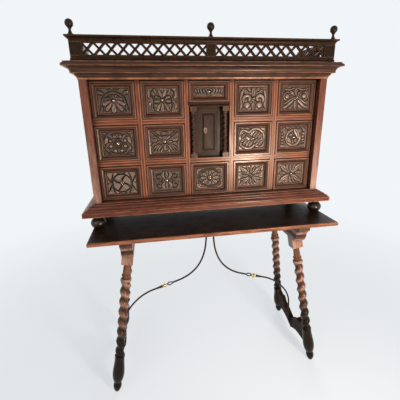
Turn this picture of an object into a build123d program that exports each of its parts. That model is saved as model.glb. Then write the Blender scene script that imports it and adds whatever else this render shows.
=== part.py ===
"""Vargueno: an open-fronted writing cabinet with carved drawers on a splayed trestle stand.

Millimetres. X runs across the front, -Y points out of the front, Z is up. The origin lies on the
floor under the middle of the stand. "Lift" values are heights above the table top.
"""
from build123d import *
from math import cos, radians, sin, tan
import os

# ---------------------------------------------------------------- driving sizes: stand
table_height = 838.0
table_width = 1130.0
table_depth = 495.0
table_thickness = 18.0
table_edge_round = 4.0

crossbar_width = 53.0
crossbar_height = 94.0
crossbar_x = 413.0
crossbar_end_setback = 24.0
crossbar_end_cap = 24.0
crossbar_step = 5.0
crossbar_cavetto = 26.0
crossbar_toe = 16.0

leg_top_x = 415.0
leg_top_y = 129.3
leg_splay_out = 9.0
leg_splay_fore = 6.4
leg_block = 53.0
leg_block_length = 54.0
leg_neck_radius = 15.5
leg_shoulder_radius = 21.0
twist_start = 143.0
twist_length = 396.0
twist_pitch = 52.8
twist_radius = 20.2
twist_throw = 3.6
twist_collar = 0.8
twist_bite = 1.5
foot_bulb_radius = 26.5
foot_bulb_height = 76.0
foot_waist_radius = 17.0
foot_waist_height = 50.0
foot_ball_radius = 20.0
foot_ball_height = 29.0
foot_tip_radius = 8.0

stretcher_thickness = 26.0
stretcher_low = 42.0
stretcher_depth = 70.0
stretcher_horn = 86.0
stretcher_horn_y = 107.0
stretcher_horn_width = 22.0
stretcher_end_top = 206.0
stretcher_end_bottom = 87.0
stretcher_end_gap = 26.0
stretcher_toe_gap = 33.5
tenon_thickness = 12.0
tenon_height = 50.0
tenon_length = 12.0
tenon_play = 0.1

iron_radius = 4.5
iron_top_x = 19.0
iron_plate = 3.0
iron_plate_width = 22.0
iron_plate_length = 46.0
iron_leaf_drop = 6.0
iron_leaf_lead = 62.0
iron_lap = 1.0
iron_loop_length = 30.0
iron_loop_height = 19.0
iron_loop_bar = 3.0
knop_radius = 9.0
knop_length = 26.0
knop_flange = 3.0
knop_flange_radius = 14.5
iron_swell = 36.0
iron_swell_radius = 7.5
knop_x = 252.0
nail_radius = 2.0
nail_head_radius = 4.0
nail_length = 14.0
nail_play = 0.05

# ---------------------------------------------------------------- driving sizes: cabinet case
case_width = 1100.0
case_front_setback = 191.0
side_board = 32.0
inner_board = 22.0
top_board = 23.0
back_board = 12.0
lid_board = 10.0
rail_height = 22.5
drawer_recess = 36.0

foot_height = 60.0
foot_radius = 34.0
foot_seat_radius = 20.0
foot_x = 540.0
foot_front_inset = 35.0
foot_back_inset = 40.0

base_projection = 51.0
base_fillet_height = 20.0
drawer_floor_lift = 112.0
drawer_zone_height = 528.0

cornice_projection = 48.5
cornice_height = 65.0
gallery_projection = 14.0
gallery_board = 20.0
gallery_plinth = 11.0
gallery_plinth_step = 2.0
gallery_rail = 11.5
gallery_opening = 48.5
gallery_cap = 22.5
gallery_cap_edge = 6.0
gallery_cap_overhang = 12.0
corner_post = 50.0
centre_post = 39.0
rear_post = 30.0
lattice_bar = 9.0
lattice_board = 10.0
lattice_bays = 11
lattice_side_bays = 5
lattice_trim = 7.0

finial_ball_radius = 16.0
finial_height = 57.5
finial_base_radius = 13.0
finial_neck_radius = 5.0

# ---------------------------------------------------------------- driving sizes: drawers and door
columns = 5
rows = 3
running_gap = 0.4
side_gap = 1.4
head_gap = 2.2
frame_width = 26.0
frame_thickness = 17.0
frame_rim = 8.0
frame_quirk = 2.5
frame_lip = 3.5
frame_lip_height = 2.5
frame_proud = 3.0
front_board = 13.0
drawer_side = 9.0
drawer_bottom = 7.0
drawer_headroom = 8.0
drawer_back_gap = 3.0
top_drawer_height = 94.0
ledge_thickness = 18.0
ledge_projection = 12.0

knob_radius = 6.0
knob_rose_radius = 8.5
knob_rose = 3.0
knob_reach = 19.0
knob_stem_radius = 3.0
knob_shank_radius = 2.5
shank_play = 0.05

jamb_width = 34.0
jamb_thickness = 20.0
jamb_recess = 20.0
door_gap = 0.6
door_thickness = 14.0
door_stile = 20.0
door_moulding = 8.0
door_field = 7.0
pivot_radius = 2.5
pivot_depth = 12.0
pivot_reach = 8.0
pivot_play = 0.06
lock_width = 15.0
lock_height = 25.0
lock_plate = 1.5
lock_inset = 44.0

colonnette_block = 28.0
colonnette_block_height = 20.0
colonnette_radius = 8.6
colonnette_throw = 2.2
colonnette_pitch = 26.0
colonnette_ring = 9.0
colonnette_front = 6.0

# ---------------------------------------------------------------- derived places
table_top_z = table_height
table_under_z = table_height - table_thickness
crossbar_under_z = table_under_z - crossbar_height
front_edge_y = -table_depth / 2
back_y = table_depth / 2
case_front_y = front_edge_y + case_front_setback
drawer_plane_y = case_front_y + drawer_recess
back_board_y = back_y - back_board
half_case = case_width / 2
half_inside = half_case - side_board
column_width = (2 * half_inside - (columns - 1) * inner_board) / columns
row_height = (drawer_zone_height - (rows - 1) * rail_height) / rows

case_bottom_z = table_top_z + foot_height
floor_z = table_top_z + drawer_floor_lift
ceiling_z = floor_z + drawer_zone_height
cornice_bottom_z = ceiling_z + 1.0
cornice_top_z = cornice_bottom_z + cornice_height
lid_bottom_z = cornice_top_z - lid_board
ledge_top_z = ceiling_z - top_drawer_height
ledge_bottom_z = ledge_top_z - ledge_thickness
niche_floor_z = floor_z + row_height + rail_height

pivot_x = column_width / 2 - jamb_width - door_gap - door_thickness / 2
door_plane_y = drawer_plane_y + jamb_recess + 2.0
pivot_y = door_plane_y + door_thickness / 2


# ---------------------------------------------------------------- shape helpers
def board(x0, x1, y0, y1, z0, z1):
    """Sawn board between two opposite corners."""
    middle = Pos((x0 + x1) / 2, (y0 + y1) / 2, (z0 + z1) / 2)
    return middle * Box(x1 - x0, y1 - y0, z1 - z0)


def outline(start, *steps):
    """Closed face: a step is the next corner, or a (middle, end) pair for an arc."""
    edges = []
    here = start
    for step in steps:
        if isinstance(step[0], tuple):
            edges.append(ThreePointArc(here, step[0], step[1]))
            here = step[1]
        else:
            edges.append(Line(here, step))
            here = step
    if here != start:
        edges.append(Line(here, start))
    return Face(Wire(edges))


def prism(face, plane, length):
    """Face drawn in XY, laid into a plane and drawn out along its normal."""
    placed = plane * face
    return extrude(placed, amount=length, dir=plane.z_dir)


def turned(profile):
    """Solid turned about the Z axis from a (radius, height) face drawn in XZ."""
    return revolve(Plane.XZ * profile, axis=Axis.Z)


def part_of(solids, path):
    """Writes one node from its separate solids."""
    shapes = []
    for item in solids:
        shapes.extend(item.solids())
    export_step(Compound(children=shapes), path)


def node(name, *solids):
    part_of(solids, os.path.join("parts", name + ".step"))


def mirrored(solid):
    """The same piece on the other side of the middle."""
    return mirror(solid, about=Plane.YZ)


# ---------------------------------------------------------------- stand
def make_table_top():
    top = board(-table_width / 2, table_width / 2, front_edge_y, back_y, table_under_z, table_top_z)
    rim = top.edges().filter_by(Axis.X).group_by(Axis.Y)[0] + top.edges().filter_by(Axis.Y)
    return fillet(rim, table_edge_round)


def make_crossbar():
    """Bar under the table top with a moulded end over each leg."""
    tip = table_depth / 2 - crossbar_end_setback
    cap_z = table_under_z - crossbar_end_cap
    step_y = tip - crossbar_step
    waist_y = step_y - crossbar_cavetto
    waist_z = crossbar_under_z + (cap_z - crossbar_under_z) * 0.38
    toe_y = waist_y - crossbar_toe
    bend = 0.3 * crossbar_cavetto
    half = outline(
        (0, table_under_z),
        (tip, table_under_z),
        (tip, cap_z),
        (step_y, cap_z - 3),
        ((waist_y + bend, (cap_z + waist_z) / 2), (waist_y + 3, waist_z)),
        (waist_y, waist_z),
        ((waist_y - 4, (waist_z + crossbar_under_z) / 2), (toe_y, crossbar_under_z)),
        (0, crossbar_under_z),
    )
    lane = Plane(origin=(crossbar_x - crossbar_width / 2, 0, 0), x_dir=(0, 1, 0), z_dir=(1, 0, 0))
    rear = prism(half, lane, crossbar_width)
    return rear + mirror(rear, about=Plane.XZ)


def leg_axis(side, fore):
    """Plane at the crossbar with its normal running down the leg's axis."""
    down = Vector(side * tan(radians(leg_splay_out)), fore * tan(radians(leg_splay_fore)), -1)
    across = Vector(0, 1, 0).cross(down)
    start = (side * leg_top_x, fore * leg_top_y, crossbar_under_z)
    return Plane(origin=start, x_dir=across, z_dir=down)


def leg_length():
    slope = 1 + tan(radians(leg_splay_out)) ** 2 + tan(radians(leg_splay_fore)) ** 2
    return crossbar_under_z * slope ** 0.5


def twisted_shaft(radius, throw, length, pitch, hand):
    """Single-start barley twist: a round section carried off centre around the axis."""
    section = Face(Wire.make_circle(radius, Plane(origin=(throw, 0, 0))))
    turns = length / pitch
    return Solid.extrude_linear_with_rotation(section, (0, 0, 0), (0, 0, length), hand * 360 * turns)


def make_leg_solid(hand):
    """One turned leg along +Z, from the crossbar (0) to past the floor."""
    length = leg_length()
    twist_end = twist_start + twist_length
    bulb_at = length - foot_bulb_height
    waist_at = length - foot_waist_height
    ball_at = length - foot_ball_height
    collar = twist_radius + twist_throw + twist_collar
    block = Pos(0, 0, leg_block_length / 2 - 10) * Box(leg_block, leg_block, leg_block_length + 20)
    neck = turned(outline(
        (0, leg_block_length),
        (leg_shoulder_radius, leg_block_length),
        ((leg_neck_radius + 1.5, leg_block_length + 3), (leg_neck_radius, leg_block_length + 10)),
        (leg_neck_radius + 2, twist_start - 34),
        ((leg_neck_radius + 6, twist_start - 29), (leg_neck_radius + 2.5, twist_start - 24)),
        (leg_neck_radius + 2.5, twist_start - 16),
        ((collar + 1, twist_start - 8), (collar, twist_start)),
        (0, twist_start),
    ))
    shaft = Pos(0, 0, twist_start - twist_bite) * twisted_shaft(
        twist_radius, twist_throw, twist_length + 2 * twist_bite, twist_pitch, hand)
    swell = Spline((collar, twist_end), (collar - 1, twist_end + 14), (foot_bulb_radius, bulb_at),
                   (foot_waist_radius, waist_at))
    tip_at = length + 2
    ball = Spline((foot_waist_radius, waist_at), (foot_ball_radius, ball_at), (foot_tip_radius, tip_at))
    rim = [Line((0, twist_end), (collar, twist_end)), swell, ball,
           Line((foot_tip_radius, tip_at), (0, tip_at)), Line((0, tip_at), (0, twist_end))]
    foot = turned(Face(Wire(rim)))
    return block + neck + shaft + foot


def make_leg(blank, side, fore):
    """Leans the blank on its axis and cuts it level under the crossbar and at the floor."""
    leaned = leg_axis(side, fore).location * blank
    span = board(-table_width, table_width, -table_depth, table_depth, 0, crossbar_under_z)
    return leaned & span


def stretcher_plane(side):
    """Leaning plane through the two leg axes of one trestle, its Y running up the lean."""
    lean = radians(leg_splay_out)
    foot_x_floor = leg_top_x + crossbar_under_z * tan(lean)
    normal = (side * cos(lean), 0, sin(lean))
    return Plane(origin=(side * foot_x_floor, 0, 0), x_dir=(0, side, 0), z_dir=normal)


def leg_inner_y(z, radius):
    """Depth of the leg's inner side, on one half of the trestle, at a height."""
    return leg_top_y + (crossbar_under_z - z) * tan(radians(leg_splay_fore)) - radius


def make_stretcher(side):
    """Sawn lower board of a trestle: it dips in the middle between two raised horns."""
    top = stretcher_low + stretcher_depth
    horn = top + stretcher_horn
    end_top_y = leg_inner_y(stretcher_end_top, stretcher_end_gap)
    end_low_y = leg_inner_y(stretcher_end_bottom, stretcher_toe_gap)
    rise = stretcher_end_bottom - stretcher_low
    shoulder_y = stretcher_horn_y - stretcher_horn_width
    half = outline(
        (0, stretcher_low),
        ((shoulder_y * 0.4, stretcher_low + rise * 0.48), (shoulder_y * 0.8, stretcher_low + rise * 0.85)),
        ((stretcher_horn_y * 1.1, stretcher_end_bottom + 1), (end_low_y, stretcher_end_bottom)),
        (end_top_y, stretcher_end_top),
        (end_top_y - 22, horn - 3),
        ((stretcher_horn_y + 16, horn - 7), (stretcher_horn_y + 3, horn - 4)),
        ((stretcher_horn_y - 4, horn + 1), (stretcher_horn_y - 9, horn - 6)),
        (shoulder_y, top + stretcher_horn * 0.62),
        ((shoulder_y * 0.45, top + stretcher_horn * 0.34), (0, top)),
    )
    lane = stretcher_plane(side)
    lane = Plane(origin=lane.origin - lane.z_dir * stretcher_thickness / 2,
                 x_dir=lane.x_dir, z_dir=lane.z_dir)
    whole = prism(half, lane, stretcher_thickness)
    whole = whole + mirror(whole, about=Plane.XZ)
    return whole + make_tenons(side, 0.0)


def make_tenons(side, play):
    """The two tenons of a stretcher, or with play the mortises that take them."""
    tenon_z = (stretcher_end_top + stretcher_end_bottom) / 2
    root_y = leg_inner_y(tenon_z, 36.0)
    tip_y = leg_inner_y(tenon_z, 26.0) + tenon_length + play
    lane = stretcher_plane(side)
    pieces = []
    for fore in (-1, 1):
        centre = lane.origin + lane.x_dir * (side * fore * (root_y + tip_y) / 2) + lane.y_dir * tenon_z
        spot = Plane(origin=centre, x_dir=lane.x_dir, z_dir=lane.z_dir).location
        size = (tip_y - root_y, tenon_height + 2 * play, tenon_thickness + 2 * play)
        pieces.append(spot * Box(*size))
    return pieces[0] + pieces[1]


# ---------------------------------------------------------------- wrought irons
def iron_leaf():
    """Middle of the leaf nailed on the right stretcher's inner face, with its normal outward."""
    lane = stretcher_plane(1)
    height = stretcher_low + stretcher_depth - iron_leaf_drop - iron_plate_length / 2
    spot = lane.origin + lane.y_dir * height - lane.z_dir * (stretcher_thickness + iron_plate) / 2
    return Plane(origin=spot, x_dir=(0, 1, 0), z_dir=lane.z_dir)


def iron_corners():
    """Corners that the bowed rod rounds, from under the table top down to its leaf.

    The bow's corners are shares of its reach outwards and of its fall.
    """
    leaf = iron_leaf()
    clear = leaf.z_dir * (iron_plate / 2 + iron_radius - iron_lap)
    end = leaf.origin - clear
    above = end + leaf.y_dir * iron_plate_length * 1.2
    bow = [(0, -0.1592), (0.0167, -0.2523), (0.0543, -0.3279), (0.1128, -0.39), (0.1963, -0.4399),
           (0.2945, -0.4736), (0.6663, -0.5465), (0.7582, -0.5789), (0.8521, -0.6315),
           (0.9252, -0.6936), (0.967, -0.7638)]
    reach = end.X - iron_top_x
    fall = table_under_z - end.Z
    hung = [Vector(iron_top_x + x * reach, 0, table_under_z + z * fall) for x, z in bow]
    top = Vector(iron_top_x, 0, table_under_z - iron_plate / 2)
    return [top] + hung + [above + Vector(-4, 0, iron_leaf_lead), above, end]


def largest_bends(corners):
    """Radius at each corner that rounds off nearly half of the shorter run beside it."""
    radii = []
    for before, here, after in zip(corners, corners[1:], corners[2:]):
        turn = radians((here - before).get_angle(after - here))
        radii.append(0.45 * min((here - before).length, (after - here).length) / tan(turn / 2))
    return radii


def iron_lane(x):
    """Plane across the long straight run of the iron, at a distance from the middle."""
    high, low = max(zip(iron_corners(), iron_corners()[1:]), key=lambda run: run[1].X - run[0].X)
    spot = high + (low - high) * ((x - high.X) / (low.X - high.X))
    return Plane(origin=spot, x_dir=(0, 1, 0), z_dir=low - high)


def nail(plane):
    """Forged nail: a flat head on the plane, with its shank going in against the normal."""
    head = Cylinder(nail_head_radius, nail_radius, align=(Align.CENTER, Align.CENTER, Align.MIN))
    shank = Cylinder(nail_radius, nail_length, align=(Align.CENTER, Align.CENTER, Align.MAX))
    return plane.location * (head + shank)


def nail_hole(plane):
    hole = Cylinder(nail_radius + nail_play, nail_length + nail_play,
                    align=(Align.CENTER, Align.CENTER, Align.MAX))
    return plane.location * hole


def table_nails():
    """Planes of the nails that hold the upper leaf, heads down."""
    spread = iron_plate_length / 2 - 2 * nail_head_radius
    low = table_under_z - iron_plate
    return [Plane(origin=(iron_top_x, y, low), x_dir=(1, 0, 0), z_dir=(0, 0, -1))
            for y in (-spread, spread)]


def stretcher_nail():
    """Plane of the nail below the rod's end, its head on the leaf."""
    leaf = iron_leaf()
    spot = leaf.origin - leaf.z_dir * iron_plate / 2 - leaf.y_dir * iron_plate_length * 0.3
    return Plane(origin=spot, x_dir=(0, 1, 0), z_dir=leaf.z_dir * -1)


def make_iron():
    """Right-hand iron: bowed rod with an open loop and a swelling, and a nailed leaf at each end."""
    corners = iron_corners()
    path = FilletPolyline(*corners, radius=largest_bends(corners))
    rod = sweep(Plane(origin=path @ 0, z_dir=path % 0) * Circle(iron_radius), path=path)
    lane = iron_lane(knop_x - (knop_length + iron_loop_length) / 2)
    flat = Plane(origin=lane.origin, x_dir=lane.z_dir, z_dir=(0, 1, 0))
    half_length = iron_loop_length / 2 - iron_loop_bar
    half_height = iron_loop_height / 2 - iron_loop_bar
    rod = rod - extrude(flat * Ellipse(half_length, half_height), amount=2 * iron_radius, both=True)
    edge = (flat * Ellipse(half_length + iron_loop_bar / 2, half_height + iron_loop_bar / 2)).edges()[0]
    loop = sweep(Plane(origin=edge @ 0, z_dir=edge % 0) * Circle(iron_loop_bar), path=edge)
    upper = Pos(iron_top_x, 0, table_under_z - iron_plate / 2) * Box(
        iron_plate_width, iron_plate_length, iron_plate)
    lower = iron_leaf().location * Box(iron_plate_width, iron_plate_length, iron_plate)
    swell = iron_lane(knop_x).location * Pos(0, 0, knop_length / 2 + iron_lap) * Cone(
        iron_swell_radius, iron_radius, iron_swell, align=(Align.CENTER, Align.CENTER, Align.MIN))
    whole = rod + loop + swell + upper + lower
    for spot in table_nails() + [stretcher_nail()]:
        whole = whole - nail_hole(spot)
    return whole


def make_iron_nails():
    return [nail(spot) for spot in table_nails() + [stretcher_nail()]]


def make_knop():
    """Brass knop threaded on the iron beside its loop: a collared ball with a flange about it."""
    spot = iron_lane(knop_x).location
    ball = Sphere(knop_radius) + Cylinder(knop_radius * 0.72, knop_length)
    flange = Cylinder(knop_flange_radius, knop_flange)
    return spot * (ball + flange) - spot * Cylinder(iron_radius + nail_play, knop_length + 2)


# ---------------------------------------------------------------- case boards
def make_case_boards():
    inner_back = back_board_y
    sides = [board(s * half_inside if s > 0 else -half_case, half_case if s > 0 else -half_inside,
                   case_front_y, inner_back, case_bottom_z, lid_bottom_z) for s in (-1, 1)]
    top = board(-half_inside, half_inside, case_front_y, inner_back, ceiling_z, ceiling_z + top_board)
    bottom = board(-half_inside, half_inside, case_front_y, inner_back, floor_z - inner_board, floor_z)
    lid = board(-half_case, half_case, case_front_y, back_y, lid_bottom_z, cornice_top_z)
    return sides + [top, bottom, lid]


def make_back():
    return board(-half_case, half_case, back_board_y, back_y, case_bottom_z, lid_bottom_z)


def partition_x(index):
    """Left face of the upright board after a column."""
    return -half_inside + (index + 1) * column_width + index * inner_board


def column_left(index):
    return -half_inside + index * (column_width + inner_board)


def make_partitions():
    """Uprights between the columns, and the two jambs of the cupboard."""
    uprights = [board(partition_x(i), partition_x(i) + inner_board, drawer_plane_y, back_board_y,
                      floor_z, ceiling_z) for i in range(columns - 1)]
    near = column_width / 2 - jamb_width
    front = drawer_plane_y + jamb_recess
    jamb = board(near, column_width / 2, front, front + jamb_thickness, niche_floor_z, ledge_bottom_z)
    return uprights + [jamb, mirrored(jamb)]


def row_floor(row):
    """Height of the floor under a row, counted from the top row."""
    return floor_z + (rows - 1 - row) * (row_height + rail_height)


def pivot_pin(radius, low, high):
    return Pos(pivot_x, pivot_y, (low + high) / 2) * Cylinder(radius, high - low)


def make_shelves():
    """Level boards under the drawers, and the moulded ledge over the cupboard door."""
    shelves = []
    middle = columns // 2
    for index in range(columns):
        left = column_left(index)
        for row in range(rows - 1):
            if index == middle and row == 0:
                continue
            top = row_floor(row)
            shelf = board(left, left + column_width, drawer_plane_y, back_board_y,
                          top - rail_height, top)
            if index == middle:
                shelf = shelf - pivot_pin(pivot_radius + pivot_play, top - pivot_reach - 0.5, top + 1)
            shelves.append(shelf)
    front = drawer_plane_y - ledge_projection
    nosing = outline(
        (0, ledge_bottom_z),
        (back_board_y - drawer_plane_y, ledge_bottom_z),
        (back_board_y - drawer_plane_y, ledge_top_z),
        (-ledge_projection, ledge_top_z),
        (-ledge_projection, ledge_top_z - 4),
        ((-ledge_projection + 4, ledge_top_z - 10), (-2, ledge_bottom_z + 4)),
        (0, ledge_bottom_z + 4),
    )
    lane = Plane(origin=(-column_width / 2, drawer_plane_y, 0), x_dir=(0, 1, 0), z_dir=(1, 0, 0))
    ledge = prism(nosing, lane, column_width)
    shelves.append(ledge - pivot_pin(pivot_radius + pivot_play, ledge_bottom_z - 1,
                                     ledge_bottom_z + pivot_reach + 0.5))
    return shelves


# ---------------------------------------------------------------- mouldings round the case
def mitred_run(profile, half_width=half_case, front_y=case_front_y):
    """Front, left and right lengths of a moulding, mitred at the two front corners.

    The profile's X is the distance out from the face that it runs round, and its Y is height.
    """
    spare = 80.0
    reach = half_width + spare
    front_lane = Plane(origin=(reach, front_y, 0), x_dir=(0, -1, 0), z_dir=(-1, 0, 0))
    side_lane = Plane(origin=(half_width, front_y - spare, 0), x_dir=(1, 0, 0), z_dir=(0, 1, 0))
    front = prism(profile, front_lane, 2 * reach)
    side = prism(mirror(profile, about=Plane.XZ), side_lane, back_y - front_y + spare)
    right_mitre = Plane(origin=(half_width, front_y, 0), z_dir=(1, 1, 0))
    left_mitre = Plane(origin=(-half_width, front_y, 0), z_dir=(-1, 1, 0))
    front = split(split(front, bisect_by=right_mitre, keep=Keep.BOTTOM), bisect_by=left_mitre,
                  keep=Keep.BOTTOM)
    side = split(side, bisect_by=right_mitre, keep=Keep.TOP)
    return [front, side, mirrored(side)]


def make_base_moulding():
    """Reeded ramp over a square fillet, round the foot of the case."""
    foot = case_bottom_z
    step = foot + base_fillet_height
    top = floor_z
    fall = (top - step) / 32.0
    out = base_projection
    profile = outline(
        (0, foot),
        (out, foot),
        (out, step),
        (out - 5, step),
        ((out - 8, step + 8 * fall), (out - 18, step + 11 * fall)),
        (out - 20, step + 14 * fall),
        ((out - 25, step + 20 * fall), (out - 32, step + 17 * fall)),
        (out - 33, step + 21 * fall),
        ((out - 39, step + 28 * fall), (out - 46, step + 25 * fall)),
        (out - 46, step + 32 * fall),
        (0, top),
    )
    return mitred_run(profile)


def make_cornice():
    """Stepped bed mouldings under a bold ovolo and a rounded crown."""
    low = cornice_bottom_z
    scale = cornice_height / 65.0
    out = cornice_projection
    profile = outline(
        (0, low),
        (2, low),
        ((4, low + 8 * scale), (10, low + 14 * scale)),
        (10, low + 22 * scale),
        (out - 25, low + 22 * scale),
        (out - 25, low + 27 * scale),
        ((out - 18, low + 42 * scale), (out, low + 47 * scale)),
        ((out - 1, low + 55 * scale), (out - 8, low + 60 * scale)),
        (out - 8, low + 65 * scale),
        (0, low + 65 * scale),
    )
    return mitred_run(profile)


def make_bun_foot():
    swell = Spline((foot_seat_radius, 0), (foot_radius, foot_height * 0.42),
                   (foot_seat_radius - 2, foot_height - 10))
    top = foot_height
    rim = [Line((0, 0), (foot_seat_radius, 0)), swell,
           Line((foot_seat_radius - 2, top - 10), (foot_seat_radius + 2, top - 8)),
           Line((foot_seat_radius + 2, top - 8), (foot_seat_radius + 2, top)),
           Line((foot_seat_radius + 2, top), (0, top)), Line((0, top), (0, 0))]
    return turned(Face(Wire(rim)))


# ---------------------------------------------------------------- gallery
def lattice_panel(length, bays):
    """Pierced board along X from 0: crossed bars leave diamonds between triangles.

    The pattern runs lattice_trim past each end, so its end diamonds are cut by the posts.
    """
    opening = gallery_opening
    panel = board(0, length, -lattice_board / 2, lattice_board / 2, 0, opening)
    pitch = (length + 2 * lattice_trim) / bays
    rise = opening / 2
    slant = (pitch ** 2 + opening ** 2) ** 0.5
    cut_x = lattice_bar * slant / opening / 2
    cut_z = lattice_bar * slant / pitch / 2
    rim = cut_z / 2
    base_half = (rise - rim - cut_z) / rise * pitch / 2
    diamond_half = pitch / 2 - cut_x
    lane = Plane(origin=(-lattice_trim, lattice_board, 0), x_dir=(1, 0, 0), z_dir=(0, -1, 0))
    holes = []
    for bay in range(bays):
        middle = (bay + 0.5) * pitch
        for way in (-1, 1):
            base = rise + way * (rise - rim)
            point = rise + way * cut_z
            holes.append([(middle - base_half, base), (middle + base_half, base), (middle, point)])
    for joint in range(bays + 1):
        edge = joint * pitch
        holes.append([(edge, opening - cut_z), (edge + diamond_half, rise), (edge, cut_z),
                      (edge - diamond_half, rise)])
    for corners in holes:
        panel = panel - prism(outline(*corners), lane, 2 * lattice_board)
    return panel


gallery_x = half_case + gallery_projection
gallery_y = case_front_y - gallery_projection
gallery_rail_z = cornice_top_z + gallery_plinth
gallery_open_z = gallery_rail_z + gallery_rail
gallery_cap_z = gallery_open_z + gallery_opening
gallery_top_z = gallery_cap_z + gallery_cap


def gallery_ring(proud, low, high):
    """Square-edged lengths of the gallery's boards, mitred at the front corners."""
    section = outline((-gallery_board, low), (proud, low), (proud, high), (-gallery_board, high))
    return mitred_run(section, gallery_x, gallery_y)


def gallery_crown():
    """Cap over the lattice: a square edge over a hollow that runs back to the boards."""
    over = gallery_cap_overhang
    edge_z = gallery_top_z - gallery_cap_edge
    section = outline(
        (-gallery_board, gallery_cap_z),
        (0, gallery_cap_z),
        ((over * 0.25, gallery_cap_z + (edge_z - gallery_cap_z) * 0.7), (over - 1.5, edge_z)),
        (over, edge_z),
        (over, gallery_top_z),
        (-gallery_board, gallery_top_z),
    )
    return mitred_run(section, gallery_x, gallery_y)


def make_gallery():
    """Pierced gallery: plinth, lower rail, posts, lattice panels and an overhanging cap."""
    inner_x = gallery_x - gallery_board
    inner_y = gallery_y + gallery_board

    def post(x0, x1, y0, y1):
        return board(x0, x1, y0, y1, gallery_open_z, gallery_cap_z)

    pieces = gallery_ring(gallery_plinth_step, cornice_top_z, gallery_rail_z)
    pieces += gallery_ring(0.0, gallery_rail_z, gallery_open_z)
    corner = post(gallery_x - corner_post, gallery_x, gallery_y, inner_y)
    rear = post(inner_x, gallery_x, back_y - rear_post, back_y)
    stub = post(inner_x, gallery_x, inner_y, inner_y + rear_post)
    for piece in (corner, rear, stub):
        pieces += [piece, mirrored(piece)]
    pieces.append(post(-centre_post / 2, centre_post / 2, gallery_y, inner_y))
    front_run = gallery_x - corner_post - centre_post / 2
    front_panel = Pos(centre_post / 2, gallery_y + gallery_board / 2, gallery_open_z) * lattice_panel(
        front_run, lattice_bays)
    side_run = back_y - inner_y - 2 * rear_post
    side_panel = Pos(gallery_x - gallery_board / 2, inner_y + rear_post, gallery_open_z) * (
        Rot(0, 0, 90) * lattice_panel(side_run, lattice_side_bays))
    for panel in (front_panel, side_panel):
        pieces += [panel, mirrored(panel)]
    return pieces + gallery_crown()


def make_finial():
    """Ball on a waisted stem with a flared base."""
    ball_z = finial_height - finial_ball_radius
    neck_z = ball_z - finial_ball_radius - 3.0
    stem = turned(outline(
        (0, 0),
        (finial_base_radius, 0),
        (finial_base_radius, 2.5),
        ((finial_neck_radius + 2.2, neck_z * 0.45), (finial_neck_radius, neck_z)),
        (finial_neck_radius + 3, neck_z + 2.5),
        (finial_neck_radius + 3, ball_z - finial_ball_radius * 0.8),
        (0, ball_z - finial_ball_radius * 0.8),
    ))
    return stem + Pos(0, 0, ball_z) * Sphere(finial_ball_radius)


# ---------------------------------------------------------------- drawers
def frame_length(length):
    """Mitred length of the drawer frame: its outer edge on Z = 0, its section running down."""
    width = frame_width
    deep = frame_thickness
    rim = frame_rim
    quirk = frame_quirk
    section = outline(
        (0, 0),
        (0, deep - 1.5),
        (1.5, deep),
        (rim, deep),
        (rim + quirk * 0.4, deep - quirk),
        (rim + quirk, deep - quirk * 0.4),
        ((width - 8, deep - 6), (width - frame_lip, frame_lip_height + 1)),
        (width, frame_lip_height),
        (width, 0),
    )
    lane = Plane(origin=(length / 2, 0, 0), x_dir=(0, 0, -1), z_dir=(-1, 0, 0))
    run = prism(section, lane, length)
    for way in (-1, 1):
        mitre = Plane(origin=(way * length / 2, 0, 0), z_dir=(way, 0, -1))
        run = split(run, bisect_by=mitre, keep=Keep.BOTTOM)
    return run


def make_drawer(height):
    """Pieces of a drawer for an opening one column wide, centred on X, its opening's floor at Z 0."""
    wide = column_width - 2 * side_gap
    tall = height - running_gap - head_gap
    board_front = drawer_plane_y - frame_proud + frame_thickness
    board_back = board_front + front_board
    middle = running_gap + tall / 2
    face = board(-wide / 2, wide / 2, board_front, board_back, running_gap, running_gap + tall)
    face = face - Pos(0, 0, middle) * (
        Plane(origin=(0, board_front - 1, 0), z_dir=(0, 1, 0)).location
        * Cylinder(knob_shank_radius + shank_play, front_board + 2,
                   align=(Align.CENTER, Align.CENTER, Align.MIN)))
    level = frame_length(wide)
    upright = frame_length(tall)
    frame = [Pos(0, board_front, middle + tall / 2) * level,
             Pos(0, board_front, middle - tall / 2) * (Rot(0, 180, 0) * level),
             Pos(wide / 2, board_front, middle) * (Rot(0, 90, 0) * upright),
             Pos(-wide / 2, board_front, middle) * (Rot(0, -90, 0) * upright)]
    rear = back_board_y - drawer_back_gap
    low = running_gap + drawer_bottom
    high = height - drawer_headroom
    bottom = board(-wide / 2, wide / 2, board_back, rear, running_gap, low)
    left = board(-wide / 2, -wide / 2 + drawer_side, board_back, rear, low, high)
    back = board(-wide / 2 + drawer_side, wide / 2 - drawer_side, rear - drawer_side, rear, low, high)
    lane = Plane(origin=(0, board_front, middle), x_dir=(1, 0, 0), z_dir=(0, -1, 0))
    ball_at = knob_reach - knob_radius
    grip = turned(outline(
        (0, -front_board + 1),
        (knob_shank_radius, -front_board + 1),
        (knob_shank_radius, 0),
        (knob_rose_radius, 0),
        ((knob_rose_radius - 1.5, knob_rose * 0.75), (knob_stem_radius + 1, knob_rose)),
        (knob_stem_radius, ball_at - knob_radius * 0.8),
        (knob_stem_radius, ball_at),
        (0, ball_at),
    )) + Pos(0, 0, ball_at) * Sphere(knob_radius)
    return [face] + frame, [bottom, left, mirrored(left), back], [lane.location * grip]


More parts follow.
